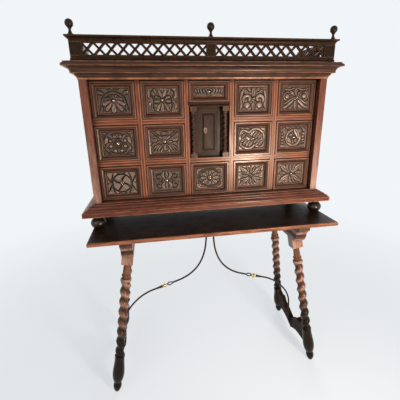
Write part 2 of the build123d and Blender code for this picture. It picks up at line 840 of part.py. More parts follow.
# ---------------------------------------------------------------- cupboard
def make_door():
    """Small framed door with a stepped moulding round a raised field."""
    low = niche_floor_z + door_gap
    high = ledge_bottom_z - door_gap
    right = pivot_x + door_thickness / 2
    left = -column_width / 2 + jamb_width + door_gap
    slab = board(left, pivot_x, door_plane_y, door_plane_y + door_thickness, low, high)
    edge = Pos(pivot_x, pivot_y, (low + high) / 2) * Cylinder(door_thickness / 2, high - low)
    slab = slab + edge
    inner = door_stile + door_moulding
    sunk = board(left + door_stile, right - door_stile, door_plane_y - 1, door_plane_y + 3,
                 low + door_stile, high - door_stile)
    deep = board(left + inner, right - inner, door_plane_y - 1, door_plane_y + 7,
                 low + inner, high - inner)
    frame = slab - sunk - deep
    frame = frame - pivot_pin(pivot_radius + pivot_play, low - 1, low + pivot_depth)
    frame = frame - pivot_pin(pivot_radius + pivot_play, high - pivot_depth, high + 1)
    margin = inner + door_field
    field = board(left + margin, right - margin, door_plane_y + 2, door_plane_y + 7,
                  low + margin, high - margin)
    return [frame, chamfer(field.faces().sort_by(Axis.Y)[0].edges(), 3.5)]


def make_door_fittings():
    """Pivot pins let into the door's ends, and the pierced lock plate."""
    low = niche_floor_z + door_gap
    high = ledge_bottom_z - door_gap
    lower = pivot_pin(pivot_radius, low - pivot_reach, low + pivot_depth - 0.2)
    upper = pivot_pin(pivot_radius, high - pivot_depth + 0.2, high + pivot_reach)
    middle = (low + high) / 2 + 8
    face = door_plane_y + 2
    lock_x = lock_inset + jamb_width + door_gap - column_width / 2
    plate = board(lock_x - lock_width / 2, lock_x + lock_width / 2, face - lock_plate, face,
                  middle - lock_height / 2, middle + lock_height / 2)
    lane = Plane(origin=(lock_x, face + 1, middle + 3), x_dir=(1, 0, 0), z_dir=(0, -1, 0))
    hole = lane.location * Cylinder(2.6, 8) + Pos(lock_x, face, middle - 3) * Box(2.6, 8, 11)
    return [lower, upper, plate - hole]


def make_colonnette(side):
    """Twisted colonnette between a square plinth and a square cap, beside the door."""
    block = colonnette_block
    tall = ledge_bottom_z - niche_floor_z
    centre_y = drawer_plane_y - colonnette_front + block / 2 - 1
    centre_x = side * (column_width / 2 - jamb_width / 2 - 2)
    size = (block, block - 2, colonnette_block_height)
    plinth = Pos(0, 0, colonnette_block_height / 2) * Box(*size)
    cap = Pos(0, 0, tall - colonnette_block_height / 2) * Box(*size)
    reach = colonnette_radius + colonnette_throw + twist_collar
    ring = colonnette_ring
    base_z = colonnette_block_height
    foot = turned(outline(
        (0, base_z),
        (reach + 0.6, base_z),
        ((reach + 1, base_z + ring / 3), (reach + 0.6, base_z + ring * 2 / 3)),
        (reach, base_z + ring),
        (0, base_z + ring),
    ))
    crown_z = tall - colonnette_block_height
    crown = turned(outline(
        (0, crown_z),
        (reach + 1, crown_z),
        (reach + 1, crown_z - ring / 3),
        ((reach + 0.3, crown_z - ring / 2), (reach, crown_z - ring)),
        (0, crown_z - ring),
    ))
    shaft = Pos(0, 0, base_z + ring - twist_bite) * twisted_shaft(
        colonnette_radius, colonnette_throw, tall - 2 * (base_z + ring - twist_bite),
        colonnette_pitch, side)
    return Pos(centre_x, centre_y, niche_floor_z) * (plinth + foot + shaft + crown + cap)


# ---------------------------------------------------------------- assembly
def build_stand():
    plates = [nail_hole(spot) for spot in table_nails()]
    top = make_table_top()
    for hole in plates:
        top = top - hole - mirrored(hole)
    node("table_top", top)
    crossbar = make_crossbar()
    node("trestle_crossbars", crossbar, mirrored(crossbar))
    legs = []
    for side in (-1, 1):
        blank = make_leg_solid(side)
        mortises = make_tenons(side, tenon_play)
        for fore in (-1, 1):
            legs.append(make_leg(blank, side, fore) - mortises)
    node("trestle_legs", *legs)
    right = make_stretcher(1)
    right = right - nail_hole(stretcher_nail())
    node("trestle_stretchers", right, mirrored(right))
    irons = [make_iron()] + make_iron_nails()
    node("bowed_irons", *irons, *[mirrored(piece) for piece in irons])
    knop = make_knop()
    node("brass_knops", knop, mirrored(knop))


def build_case():
    node("case_boards", *make_case_boards())
    node("case_back", make_back())
    node("partitions", *make_partitions())
    node("shelves", *make_shelves())
    node("base_moulding", *make_base_moulding())
    node("cornice", *make_cornice())
    bun = make_bun_foot()
    spots = [(side * foot_x, y) for side in (-1, 1)
             for y in (case_front_y - base_projection + foot_front_inset, back_y - foot_back_inset)]
    node("bun_feet", *[Pos(x, y, table_top_z) * bun for x, y in spots])
    node("gallery", *make_gallery())
    finial = make_finial()
    post_y = gallery_y + gallery_board / 2
    post_x = gallery_x - gallery_board / 2
    node("finials", *[Pos(x, post_y, gallery_top_z) * finial for x in (-post_x, 0, post_x)])


def build_cupboard():
    node("cupboard_door", *make_door())
    node("door_fittings", *make_door_fittings())
    node("colonnettes", make_colonnette(-1), make_colonnette(1))


def build_drawers():
    standard = make_drawer(row_height)
    shallow = make_drawer(top_drawer_height)
    middle = columns // 2
    for row in range(rows):
        for index in range(columns):
            if index == middle and row == 1:
                continue
            top_middle = index == middle and row == 0
            kit = shallow if top_middle else standard
            low = ledge_top_z if top_middle else row_floor(row)
            spot = Pos(column_left(index) + column_width / 2, 0, low)
            tag = f"row{row + 1}_col{index + 1}"
            for name, solids in zip(("drawer_front_", "drawer_box_", "drawer_knob_"), kit):
                node(name + tag, *[spot * solid for solid in solids])


os.makedirs("parts", exist_ok=True)
build_stand()
build_case()
build_cupboard()
build_drawers()
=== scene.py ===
"""Vargueno, dressed: wood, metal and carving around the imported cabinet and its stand."""
import math

import bpy
import numpy as np
from bpy.props import FloatProperty, FloatVectorProperty, PointerProperty
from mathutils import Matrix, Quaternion, Vector


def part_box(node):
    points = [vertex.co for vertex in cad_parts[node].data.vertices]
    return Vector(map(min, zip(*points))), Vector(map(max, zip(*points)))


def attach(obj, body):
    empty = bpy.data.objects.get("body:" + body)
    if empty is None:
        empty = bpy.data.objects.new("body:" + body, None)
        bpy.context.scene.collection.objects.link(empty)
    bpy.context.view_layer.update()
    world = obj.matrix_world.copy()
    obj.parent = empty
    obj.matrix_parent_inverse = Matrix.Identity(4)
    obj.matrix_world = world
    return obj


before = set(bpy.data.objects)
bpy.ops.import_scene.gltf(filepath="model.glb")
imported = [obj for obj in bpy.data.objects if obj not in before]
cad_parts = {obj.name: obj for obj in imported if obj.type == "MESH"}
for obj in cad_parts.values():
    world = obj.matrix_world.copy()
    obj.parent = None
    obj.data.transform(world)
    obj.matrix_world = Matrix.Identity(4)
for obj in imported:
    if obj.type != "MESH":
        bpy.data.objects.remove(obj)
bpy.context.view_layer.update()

bl_info = {
    "name": "Vargueno",
    "version": (1, 0, 0),
    "blender": (4, 5, 0),
    "location": "View3D > Sidebar > Vargueno",
    "description": "Carving, finishes and stage for a Spanish writing cabinet on its stand",
    "category": "Object",
}


# ---------------------------------------------------------------- settings
class VarguenoCarving(bpy.types.PropertyGroup):
    """Sizes of the carved relief."""
    relief: FloatProperty(
        name="Relief", description="Height of the carving over its ground",
        default=0.0075, min=0.001, max=0.02, unit="LENGTH")
    step: FloatProperty(
        name="Grid step", description="Spacing of the surface points of the carving",
        default=0.001, min=0.0005, max=0.005, unit="LENGTH")
    lap: FloatProperty(
        name="Lap", description="How far a carved panel runs under the drawer's frame",
        default=0.0015, min=0, max=0.005, unit="LENGTH")
    knob_clear: FloatProperty(
        name="Knob clearance", description="Radius of the flat seat around a knob",
        default=0.0085, min=0, max=0.03, unit="LENGTH")


def tint(name, default, description):
    """Property that holds a colour."""
    return FloatVectorProperty(name=name, description=description, default=default,
                               subtype="COLOR", size=3, min=0, max=1)


class VarguenoFinish(bpy.types.PropertyGroup):
    """Colours of the finishes."""
    case_wood: tint("Case wood", (0.19, 0.05, 0.024), "Reddish walnut of the case and its rails")
    frame_wood: tint("Frame wood", (0.13, 0.054, 0.034), "Browner walnut of the drawer frames")
    # Colour of wear, and of painted highlights along rails, frames and mouldings
    worn_and_sheen_wood: tint("Worn wood", (0.58, 0.23, 0.12),
                    "What every wood turns towards where hands rub it")
    # Pale colour of the painted sheen on the case's front edges and of the worn, highlighted crests
    # of the legs
    pale_wear_and_sheen_wood: tint("Pale wood", (0.52, 0.33, 0.26),
                    "Walnut worn pale on the legs and the case's front edges")
    cornice_wood: tint("Cornice wood", (0.08, 0.034, 0.019),
                       "Dark brown walnut of the cornice and the colonnettes")
    carved_wood: tint("Carved wood", (0.105, 0.064, 0.044), "Greyer walnut of the carved panels")
    # Light colour of the carving's raised forms: wear and painted highlight
    crest_wear_and_highlight_wood: tint("Crest wood", (0.3, 0.205, 0.158),
                     "Greyish brown of the rubbed crests of the carving")
    dark_wood: tint("Dark wood", (0.028, 0.013, 0.006),
                    "Nearly black walnut of the gallery and bun feet")
    door_wood: tint("Door wood", (0.045, 0.022, 0.01), "Dull brown walnut of the cupboard door")
    stand_wood: tint("Table wood", (0.02, 0.006, 0.0025),
                     "Dark waxed walnut of the table top and stretchers")
    leg_wood: tint("Leg wood", (0.23, 0.098, 0.056),
                   "Lighter rubbed walnut of the legs and crossbars")
    lining_wood: tint("Lining wood", (0.3, 0.17, 0.08),
                      "Plain unpolished wood of the drawer boxes and the back")
    iron: tint("Iron", (0.1, 0.075, 0.06), "Rubbed iron of the bowed stays and the lock plate")
    brass: tint("Brass", (0.85, 0.6, 0.26), "Clean brass of the knops")
    bronze: tint("Bronze", (0.42, 0.33, 0.22),
                 "Dark bronze of the drawer knobs, where it is rubbed")


class VarguenoStage(bpy.types.PropertyGroup):
    """Camera and backdrop."""
    eye: FloatVectorProperty(
        name="Camera place", description="Where the camera stands", subtype="TRANSLATION",
        unit="LENGTH", size=3, default=(-0.27683, -1.38868, 1.35842))
    pan: FloatProperty(
        name="Pan", description="Turn of the camera to the right of straight ahead",
        subtype="ANGLE", unit="ROTATION", default=0.16247)
    tilt: FloatProperty(
        name="Tilt", description="Turn of the camera below the horizon",
        subtype="ANGLE", unit="ROTATION", default=0.30546)
    roll: FloatProperty(
        name="Roll", description="Lean of the camera about its view",
        subtype="ANGLE", unit="ROTATION", default=0.01976)
    lens: FloatProperty(
        name="Lens", description="Focal length on a 36 mm wide sensor, in millimetres",
        default=26.1365, min=8, max=200)
    backdrop: tint("Backdrop", (0.88, 0.915, 0.945),
                   "Colour that the camera sees behind the cabinet")


def settings(group):
    return getattr(bpy.context.scene, "vargueno_" + group)


def middle_and_size(piece):
    """Middle of a piece's box and its size, each along X, Y and Z."""
    low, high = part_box(piece)
    return [(a + b) / 2 for a, b in zip(low, high)], [b - a for a, b in zip(low, high)]


def place_in(scene, name, data, location=(0, 0, 0)):
    """New object in the scene."""
    thing = bpy.data.objects.new(name, data)
    thing.location = location
    scene.collection.objects.link(thing)
    return thing


# ---------------------------------------------------------------- carving
def smooth(low, high, value):
    """Rises from 0 at low to 1 at high with no corner at either end."""
    t = np.clip((value - low) / (high - low), 0, 1)
    return t * t * (3 - 2 * t)


def ring(x, z, across, up=None, start=0, stop=360):
    """Points on an ellipse about (x, z), its angles counted from +X towards +Z."""
    turn = np.radians(np.linspace(start, stop, 13))
    return list(zip(x + across * np.cos(turn), z + (up or across) * np.sin(turn)))


def curl(x, z, outer, inner, start, stop):
    """Points on a spiral about (x, z) whose radius falls evenly from outer to inner."""
    turn = np.radians(np.linspace(start, stop, 17))
    reach = np.linspace(outer, inner, 17)
    return [(x + r * math.cos(t), z + r * math.sin(t)) for r, t in zip(reach, turn)]


def flow(points, spacing=1.4):
    """Smooth line through the points: at each span, the cubic whose slopes join its neighbours.

    The line is carried on by one mirrored point at both ends, and sampled at the spacing.
    """
    line = np.asarray(points, float)
    if len(line) == 1:
        return line
    longer = np.vstack([2 * line[0] - line[1], line, 2 * line[-1] - line[-2]])
    p0, p1, p2, p3 = (longer[first:first + len(line) - 1, None] for first in range(4))
    samples = max(4, int(np.linalg.norm(np.diff(line, axis=0), axis=1).max() / spacing) + 1)
    t = np.linspace(0, 1, samples, endpoint=False)[None, :, None]
    curve = 0.5 * (2 * p1 + (p2 - p0) * t + (2 * p0 - 5 * p1 + 4 * p2 - p3) * t ** 2
                   + (3 * p1 - p0 - 3 * p2 + p3) * t ** 3)
    return np.vstack([curve.reshape(-1, 2), line[-1:]])


TAPERS = {
    "band": lambda t: 1 - 0.75 * np.abs(2 * t - 1) ** 6,
    "cut": lambda t: 1 - 0.6 * np.abs(2 * t - 1) ** 4,
    "leaf": lambda t: np.sin(np.pi * t ** 0.9) ** 0.8 + 0.03,
    "drop": lambda t: 0.16 + 0.84 * np.sin(0.5 * np.pi * np.clip(1.25 * t, 0, 1)) ** 1.5,
    "ball": lambda t: 1 + 0 * t,
}


def lay(field, x, z, kind, half_width, level, points):
    """One stroke of the carver on the height field.

    A point's nearness is its least distance to the line in half widths of the line there.
    A cut lowers the field to the given level in a round-bottomed groove. Every other stroke is a
    rounded back of the given level, about half an ellipse across, with a moat cut around its foot.
    A leaf or drop over 8 mm wide has a vein along its middle.
    """
    line = flow(points)
    share = np.linspace(0, 1, len(line)) if len(line) > 1 else np.zeros(1)
    widths = half_width * TAPERS[kind](share)
    gaps = np.hypot(x[:, :, None] - line[:, 0], z[:, :, None] - line[:, 1])
    near = (gaps / widths).min(axis=2)
    if kind == "cut":
        depth = np.clip(1 - near ** 2, 0, 1) ** 0.7
        return np.minimum(field, field * (1 - depth) + level * depth)
    back = level * np.sqrt(np.clip(1 - near ** 2, 0, 1)) ** 0.8
    if kind in ("leaf", "drop") and half_width > 4:
        back = back * (1 - 0.4 * (1 - smooth(0.0, 0.24, near)))
    moat = 1 - 0.92 * (1 - smooth(1.0, 1.0 + 2.6 / half_width, near))
    return np.where(near < 1, np.maximum(back, 0.1 * level), field * moat)


def copies(points, symmetry):
    """The stroke's points and their copies: x mirrors to the other side, z upside down, 4 turns."""
    every = [np.asarray(points, float)]
    if "x" in symmetry:
        every += [line * (-1, 1) for line in every]
    if "z" in symmetry:
        every += [line * (1, -1) for line in every]
    if "4" in symmetry:
        every += [line[:, ::-1] * (-1, 1) for line in every]
        every += [line * (-1, -1) for line in every[:2]]
    return every


# Each panel: the level of its ground, then its strokes as kind, symmetry, half width, level and
# points, in millimetres from the middle of the panel. Level 1 is the full relief.
CARVING = {
    "row1_col1": (0.6, [
        ("cut", "x", 3.6, 0, [(-64, -46), (-57, -16), (-48, 12), (-36, 27), (-18, 35), (0, 41)]),
        ("cut", "x", 2.6, 0.1, [(-67, 28), (-55, 25), (-45, 19)]),
        ("cut", "x", 2.4, 0.1, [(-67, 46), (-50, 41), (-36, 29)]),
        ("cut", "x", 2.8, 0.05, [(-45, -2), (-30, 15), (-14, 24), (0, 28)]),
        ("cut", "x", 2, 0.1, [(-30, 47), (-14, 46), (0, 50)]),
        ("drop", "", 12, 1, [(0, -8), (-1, -28), (-2, -40)]),
        ("drop", "x", 8.5, 0.95, [(-7, -7), (-20, -22), (-32, -36)]),
        ("drop", "x", 8, 1, [(-9, -1), (-26, -6), (-41, -14)]),
        ("drop", "x", 5.5, 0.8, [(-9, 5), (-22, 10), (-34, 7)]),
        ("drop", "x", 4.5, 0.75, [(-5, 10), (-9, 17), (-12, 22)]),
        ("cut", "x", 2.2, 0.05, [(-51, -47), (-46, -32), (-51, -14)]),
    ]),
    "row1_col2": (0.5, [
        ("cut", "x", 3.6, 0, [(-38, 49), (-50, 34), (-44, 14), (-38, 0), (-42, -20), (-37, -48)]),
        ("leaf", "x", 7, 0.9, [(-57, 42), (-61, 22), (-52, 3)]),
        ("leaf", "x", 7, 0.85, [(-49, -3), (-59, -22), (-52, -45)]),
        ("cut", "x", 2.8, 0, ring(-24, 3, 16, 17)),
        ("drop", "x", 6, 0.95, [(-9, 3), (-20, 11), (-29, 13)]),
        ("drop", "x", 6, 0.95, [(-10, -2), (-22, -5), (-32, -5)]),
        ("leaf", "x", 7, 1, [(-1, 12), (-9, 28), (-19, 48)]),
        ("drop", "x", 5.5, 0.85, [(-23, 25), (-30, 34), (-34, 43)]),
        ("drop", "", 9, 1, [(0, -10), (-1, -28), (-2, -42)]),
        ("drop", "x", 7, 0.95, [(-7, -9), (-17, -26), (-24, -42)]),
    ]),
    "row1_col3": (0.35, [
        ("drop", "x", 4.8, 1, [(22, -9), (23, 0), (25, 8)]),
        ("drop", "x", 4.8, 1, [(35, -9), (36, 0), (38, 8)]),
        ("drop", "x", 4.8, 0.95, [(47, -9), (48, 0), (50, 8)]),
        ("drop", "x", 4.8, 0.9, [(58, -9), (59, 0), (61, 8)]),
        ("drop", "x", 4.4, 0.8, [(7, -3), (11, 4), (13, 10)]),
        ("drop", "", 4.4, 0.8, [(0, 6), (0, 10), (0, 13)]),
        ("drop", "", 9.9, 0.7, [(0, -6), (0, -10), (0, -13)]),
    ]),
    "row1_col4": (0.38, [
        ("band", "x", 7.8, 0.9, [(-38, 47), (-53, 32), (-60, 6), (-57, -22), (-61, -44)]),
        ("leaf", "", 14.3, 1, [(0, 49), (0, 30), (0, 8)]),
        ("leaf", "x", 11.7, 0.9, [(-43, 38), (-30, 28), (-9, 22)]),
        ("leaf", "x", 8.5, 0.85, [(-29, 49), (-20, 40), (-11, 33)]),
        ("band", "x", 8.5, 1, [(-47, -16), (-48, 2), (-37, 13), (-24, 12), (-17, 1), (-24, -9)]),
        ("ball", "x", 16.9, 1, [(-30, -29)]),
        ("leaf", "x", 7.8, 0.9, [(-27, -48), (-11, -39), (-3, -20)]),
        ("leaf", "", 9.8, 0.9, [(0, -14), (0, -32), (0, -50)]),
        ("leaf", "x", 6.5, 0.8, [(-56, -46), (-44, -45), (-34, -48)]),
    ]),
    "row1_col5": (0.38, [
        ("band", "x", 5.6, 0.75, [(-60, 42), (-30, 38), (-5, 47)]),
        ("leaf", "x", 8.1, 0.8, [(-30, 32), (-16, 22), (-5, 9)]),
        ("leaf", "", 9.4, 0.9, [(0, 45), (0, 30), (0, 10)]),
        ("band", "x", 6.2, 0.8, curl(-42, 8, 19, 15, 60, 300)),
        ("ball", "x", 12.5, 1, [(-43, 9)]),
        ("band", "x", 8.1, 0.95, [(-61, -44), (-42, -34), (-26, -20), (-11, -9)]),
        ("band", "x", 5.6, 0.85, [(-61, -26), (-46, -20), (-30, -8), (-14, -1)]),
        ("leaf", "x", 8.1, 0.85, [(-42, -49), (-23, -41), (-7, -20)]),
        ("leaf", "", 10.6, 0.9, [(0, -11), (0, -30), (0, -50)]),
    ]),
    "row2_col1": (0.55, [
        ("cut", "", 3.4, 0, ring(0, 1, 57, 44)),
        ("cut", "x", 2.6, 0.05, [(-64, -12), (-53, -34), (-34, -49)]),
        ("cut", "x", 2.6, 0.05, [(-64, 14), (-53, 36), (-34, 51)]),
        ("leaf", "x", 8, 1, [(-46, 30), (-51, 13), (-56, 0)]),
        ("leaf", "x", 6.5, 0.9, [(-56, -10), (-49, -25), (-36, -37)]),
        ("ball", "x", 8.5, 0.9, [(-33, 12)]),
        ("ball", "x", 8.5, 1, [(-32, -12)]),
        ("ball", "x", 8.5, 1, [(-14, -32)]),
        ("ball", "x", 8, 0.85, [(-13, 31)]),
        ("leaf", "x", 6, 0.85, [(-22, 24), (-31, 34), (-41, 36)]),
        ("cut", "", 4, 0, [(0, -23), (11, -12), (22, 0), (11, 11), (0, 22), (-11, 11), (-22, 0),
                              (-11, -12), (0, -23)]),
        ("leaf", "xz", 5, 0.8, [(-63, 48), (-55, 47), (-46, 49)]),
    ]),
    "row2_col2": (0.6, [
        ("cut", "xz", 2.8, 0.1, [(-64, 49), (-44, 33), (-24, 18), (-9, 6)]),
        ("cut", "x", 2.2, 0.1, [(-52, 51), (-34, 37), (-14, 22)]),
        ("cut", "", 2.4, 0.05, ring(0, 38, 18, 9)),
        ("drop", "xz", 5.5, 0.95, [(-8, 9), (-15, 17), (-22, 23)]),
        ("drop", "x", 5.5, 0.9, [(-11, 0), (-22, 0), (-32, 0)]),
        ("leaf", "x", 8.5, 0.9, [(-34, 14), (-48, 6), (-62, 18)]),
        ("leaf", "x", 7, 0.85, [(-34, -8), (-48, -8), (-62, -20)]),
        ("drop", "", 7, 1, [(0, -10), (0, -22), (0, -36)]),
        ("leaf", "x", 4, 1, [(12, -12), (26, -28), (37, -50)]),
        ("leaf", "x", 4, 1, [(19, -12), (36, -25), (49, -46)]),
        ("leaf", "x", 4, 0.95, [(27, -12), (45, -23), (60, -38)]),
        ("leaf", "x", 5, 0.95, [(7, -28), (16, -40), (22, -51)]),
    ]),
    "row2_col4": (0.38, [
        ("band", "", 7.3, 0.9, [(-62, 12), (-57, 33), (-43, 42), (-28, 35), (-14, 31), (-2, 42),
                                (16, 47), (36, 42), (53, 28), (61, 8), (58, -8)]),
        ("band", "", 7.3, 0.9, [(62, -16), (56, -35), (40, -44), (26, -38), (12, -32), (0, -42),
                                (-16, -48), (-36, -43), (-55, -30), (-62, -8)]),
        ("band", "", 6, 0.8, [(-60, 48), (-36, 51), (-14, 47)]),
        ("band", "", 6, 0.8, [(60, -48), (36, -51), (14, -48)]),
        ("leaf", "", 8.1, 1, [(-55, -16), (-44, -2), (-31, 16)]),
        ("leaf", "", 7.8, 0.95, [(-52, 6), (-42, 17), (-32, 28)]),
        ("leaf", "", 8.1, 0.95, [(-44, -30), (-34, -16), (-22, -2)]),
        ("leaf", "", 8.1, 1, [(-31, -36), (-19, -21), (-8, -8)]),
        ("leaf", "", 7.8, 1, [(-16, -37), (-7, -26), (2, -14)]),
        ("leaf", "", 8.1, 1, [(4, 6), (15, 19), (26, 35)]),
        ("leaf", "", 8.1, 1, [(16, 2), (29, 17), (41, 33)]),
        ("leaf", "", 7.8, 0.95, [(30, -1), (42, 12), (52, 24)]),
        ("leaf", "", 8.1, 1, [(19, -32), (32, -16), (46, -1)]),
        ("leaf", "", 7.8, 0.95, [(33, -34), (44, -22), (55, -11)]),
        ("leaf", "", 7.3, 0.9, [(9, -21), (20, -10), (31, 0)]),
        ("cut", "", 8, 0, [(-26, 20), (-16, 13), (-6, 7)]),
    ]),
    "row2_col5": (0.38, [
        ("band", "", 7.8, 0.9, ring(3, -2, 36, 37, 60, 420)),
        ("cut", "", 3.4, 0, ring(3, -2, 28, 29, 100, 330)),
        ("leaf", "", 14.4, 1, [(4, 38), (20, 22), (30, -8)]),
        ("ball", "", 9, 0.95, [(-10, 11)]),
        ("leaf", "", 9, 1, [(-24, 0), (-20, -15), (-8, -27)]),
        ("leaf", "", 7.8, 0.95, [(-3, -15), (2, -24), (-1, -33)]),
        ("leaf", "", 7.8, 0.9, [(9, -10), (16, -18), (19, -29)]),
        ("ball", "x", 7.9, 0.95, [(-55, 17)]),
        ("ball", "x", 7.9, 1, [(-53, 2)]),
        ("ball", "x", 7.9, 0.95, [(-55, -13)]),
        ("leaf", "x", 7.8, 0.85, [(-64, 27), (-56, 36), (-44, 47)]),
        ("leaf", "x", 10.8, 0.95, [(-64, -42), (-50, -40), (-34, -46)]),
        ("leaf", "x", 7.2, 0.8, [(-64, -25), (-52, -27), (-42, -32)]),
        ("leaf", "x", 7.2, 0.75, [(-40, 50), (-28, 46), (-12, 49)]),
    ]),
    "row3_col1": (0.85, [
        ("cut", "x", 4, 0, [(-34, 51), (-43, 24), (-47, -2), (-41, -28), (-30, -51)]),
        ("cut", "x", 3.8, 0, [(-65, 36), (-55, 14), (-46, -4), (-54, -24), (-65, -42)]),
        ("cut", "x", 3, 0, [(-58, 4), (-64, -2), (-68, 4)]),
        ("cut", "", 4, 0, ring(0, 0, 43, 43)),
        ("cut", "4", 4.6, 0, [(0, 0), (2, 13), (9, 26), (21, 37)]),
        ("cut", "xz", 2.8, 0.1, [(-20, 51), (-12, 46), (0, 43)]),
    ]),
    "row3_col2": (0.5, [
        ("cut", "x", 3.4, 0, curl(-38, 16, 22, 6, -90, 300)),
        ("cut", "x", 3.4, 0, curl(-38, -24, 21, 6, 90, -300)),
        ("cut", "x", 2.8, 0.05, [(-63, -48), (-65, 0), (-63, 48)]),
        ("leaf", "xz", 7.5, 0.95, [(-8, 8), (-19, 25), (-11, 46)]),
        ("leaf", "z", 6.9, 0.9, [(0, 12), (0, 28), (0, 49)]),
    ]),
    "row3_col3": (0.45, [
        ("cut", "", 3.8, 0, ring(0, 1, 53, 41)),
        ("cut", "", 2.2, 0.1, ring(0, 1, 60, 48)),
        ("drop", "", 8.5, 1, [(0, 13), (0, 21), (0, 28)]),
        ("drop", "", 8.5, 1, [(0, -11), (0, -19), (0, -26)]),
        ("drop", "x", 8.5, 1, [(-11, 10), (-22, 18), (-30, 21)]),
        ("drop", "x", 8.5, 1, [(-11, -7), (-22, -15), (-30, -20)]),
        ("drop", "x", 8.5, 1, [(-13, 1), (-26, 1), (-38, 1)]),
        ("leaf", "xz", 7.5, 1, [(-63, 20), (-58, 40), (-34, 50)]),
        ("cut", "", 4, 0, ring(0, 1, 12, 12)),
    ]),
    "row3_col4": (0.38, [
        ("leaf", "xz", 13.2, 1, [(-7, 6), (-30, 24), (-58, 47)]),
        ("leaf", "x", 7.8, 0.9, [(-14, 0), (-34, 1), (-58, 0)]),
        ("leaf", "x", 5.4, 0.85, [(-28, 10), (-46, 19), (-63, 19)]),
        ("leaf", "x", 5.4, 0.85, [(-28, -10), (-46, -18), (-63, -19)]),
        ("leaf", "xz", 6, 0.85, [(-6, 16), (-14, 32), (-24, 49)]),
        ("leaf", "z", 7.2, 0.9, [(0, 12), (0, 30), (0, 50)]),
    ]),
    "row3_col5": (0.4, [
        ("leaf", "x", 15, 1, [(-7, 7), (-29, 25), (-58, 47)]),
        ("leaf", "x", 13.5, 1, [(-7, -8), (-31, -24), (-60, -46)]),
        ("leaf", "x", 8.5, 0.9, [(-24, 1), (-44, 3), (-64, -1)]),
        ("leaf", "xz", 6, 0.85, [(-12, 18), (-17, 34), (-27, 50)]),
        ("leaf", "z", 7.5, 0.9, [(0, 12), (0, 30), (0, 50)]),
    ]),
}


# Low margin of a panel: its level, and the distances from the frame over which the field rises
RIM_LEVEL = 0.16
RIM = (2.2, 5.0)
# Distance over which the field rises from the flat seat around a knob
SEAT_RISE = 3.5


def relief(name, width, height, step, knob_clear):
    """Grid of a carved panel: x, z and level of each point, all in millimetres but the level.

    The level starts as a plain ground, takes the strokes one by one, falls to a low margin along
    the frame, and falls to nothing under the knob's rose.
    """
    across = np.linspace(-width / 2, width / 2, int(round(width / step)) + 1)
    upward = np.linspace(-height / 2, height / 2, int(round(height / step)) + 1)
    x, z = np.meshgrid(across, upward)
    ground, strokes = CARVING[name]
    field = np.full_like(x, ground)
    for kind, symmetry, half_width, level, points in strokes:
        for line in copies(points, symmetry):
            field = lay(field, x, z, kind, half_width, level, line)
    edge = np.minimum(width / 2 - np.abs(x), height / 2 - np.abs(z))
    rim = smooth(*RIM, edge)
    field = field * rim + RIM_LEVEL * (1 - rim)
    return x, z, field * smooth(knob_clear, knob_clear + SEAT_RISE, np.hypot(x, z))


# ---------------------------------------------------------------- carved panels
# Millimetres in a metre
MM = 1000
# A drawer's panel stands before its box, inside a frame
PANEL_THICKNESS = 0.013
FRAME_WIDTH = 0.026
PANEL_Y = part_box("drawer_box_row1_col1")[0][1] - PANEL_THICKNESS
# The carving's lowest ground lies this far before the panel, and its flat back this far behind
SKIN = 0.0003


def softened(field, points):
    """The field averaged over a square of points each way, its edges repeated outwards."""
    for axis in (0, 1):
        pad = [(points, points) if side == axis else (0, 0) for side in (0, 1)]
        total = np.cumsum(np.pad(field, pad, mode="edge"), axis=axis)
        total = np.insert(total, 0, 0, axis=axis)
        size = 2 * points + 1
        field = (np.take(total, range(size, total.shape[axis]), axis=axis)
                 - np.take(total, range(total.shape[axis] - size), axis=axis)) / size
    return field


def carved_mesh(name, x, y, z, level):
    """Closed slab: a grid of points for its face, one ring behind the grid's edge, one flat back.

    The grid's points run row by row. The ring repeats the edge points at the back's depth. The
    crest attribute is above a half where a point stands higher than the field around it.
    """
    rows, columns = x.shape
    index = np.arange(rows * columns).reshape(rows, columns)
    quads = np.stack([index[:-1, :-1], index[:-1, 1:], index[1:, 1:], index[1:, :-1]], axis=-1)
    quads = quads.reshape(-1, 4)
    edge = np.concatenate([index[0, :-1], index[:-1, -1], index[-1, :0:-1], index[:0:-1, 0]])
    ring_at = rows * columns + np.arange(len(edge))
    walls = np.stack([edge, ring_at, np.roll(ring_at, -1), np.roll(edge, -1)], axis=-1)
    front = np.stack([x, y, z], axis=-1).reshape(-1, 3)
    back = front[edge].copy()
    back[:, 1] = PANEL_Y + SKIN
    faces = [*quads.tolist(), *walls.tolist(), ring_at[::-1].tolist()]
    mesh = bpy.data.meshes.new(name)
    mesh.from_pydata(np.vstack([front, back]).tolist(), [], faces)
    mesh.polygons.foreach_set("use_smooth", np.arange(len(faces)) < len(quads))
    crest = np.clip(0.5 + 1.6 * (level - softened(level, 4)), 0, 1)
    for key, values in (("level", level), ("crest", crest)):
        layer = mesh.attributes.new(key, "FLOAT", "POINT")
        layer.data.foreach_set("value", np.concatenate([values.ravel(), np.zeros(len(edge))]))
    mesh.validate()
    return mesh


class VARGUENO_OT_carving(bpy.types.Operator):
    """Carve the panels of the fourteen drawers"""
    bl_idname = "vargueno.carving"
    bl_label = "Carving"

    def execute(self, context):
        sizes = settings("carving")
        for name in CARVING:
            middle, size = middle_and_size("drawer_front_" + name)
            width, height = ((size[axis] - 2 * FRAME_WIDTH + 2 * sizes.lap) * MM
                             for axis in (0, 2))
            x, z, level = relief(name, width, height, sizes.step * MM, sizes.knob_clear * MM)
            y = PANEL_Y - SKIN - level * sizes.relief
            mesh = carved_mesh("carving_" + name, x / MM + middle[0], y, z / MM + middle[2], level)
            mesh.materials.append(bpy.data.materials["carved_" + name])
            piece = place_in(context.scene, "carving_" + name, mesh)
            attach(piece, "drawer_" + name)
        return {"FINISHED"}


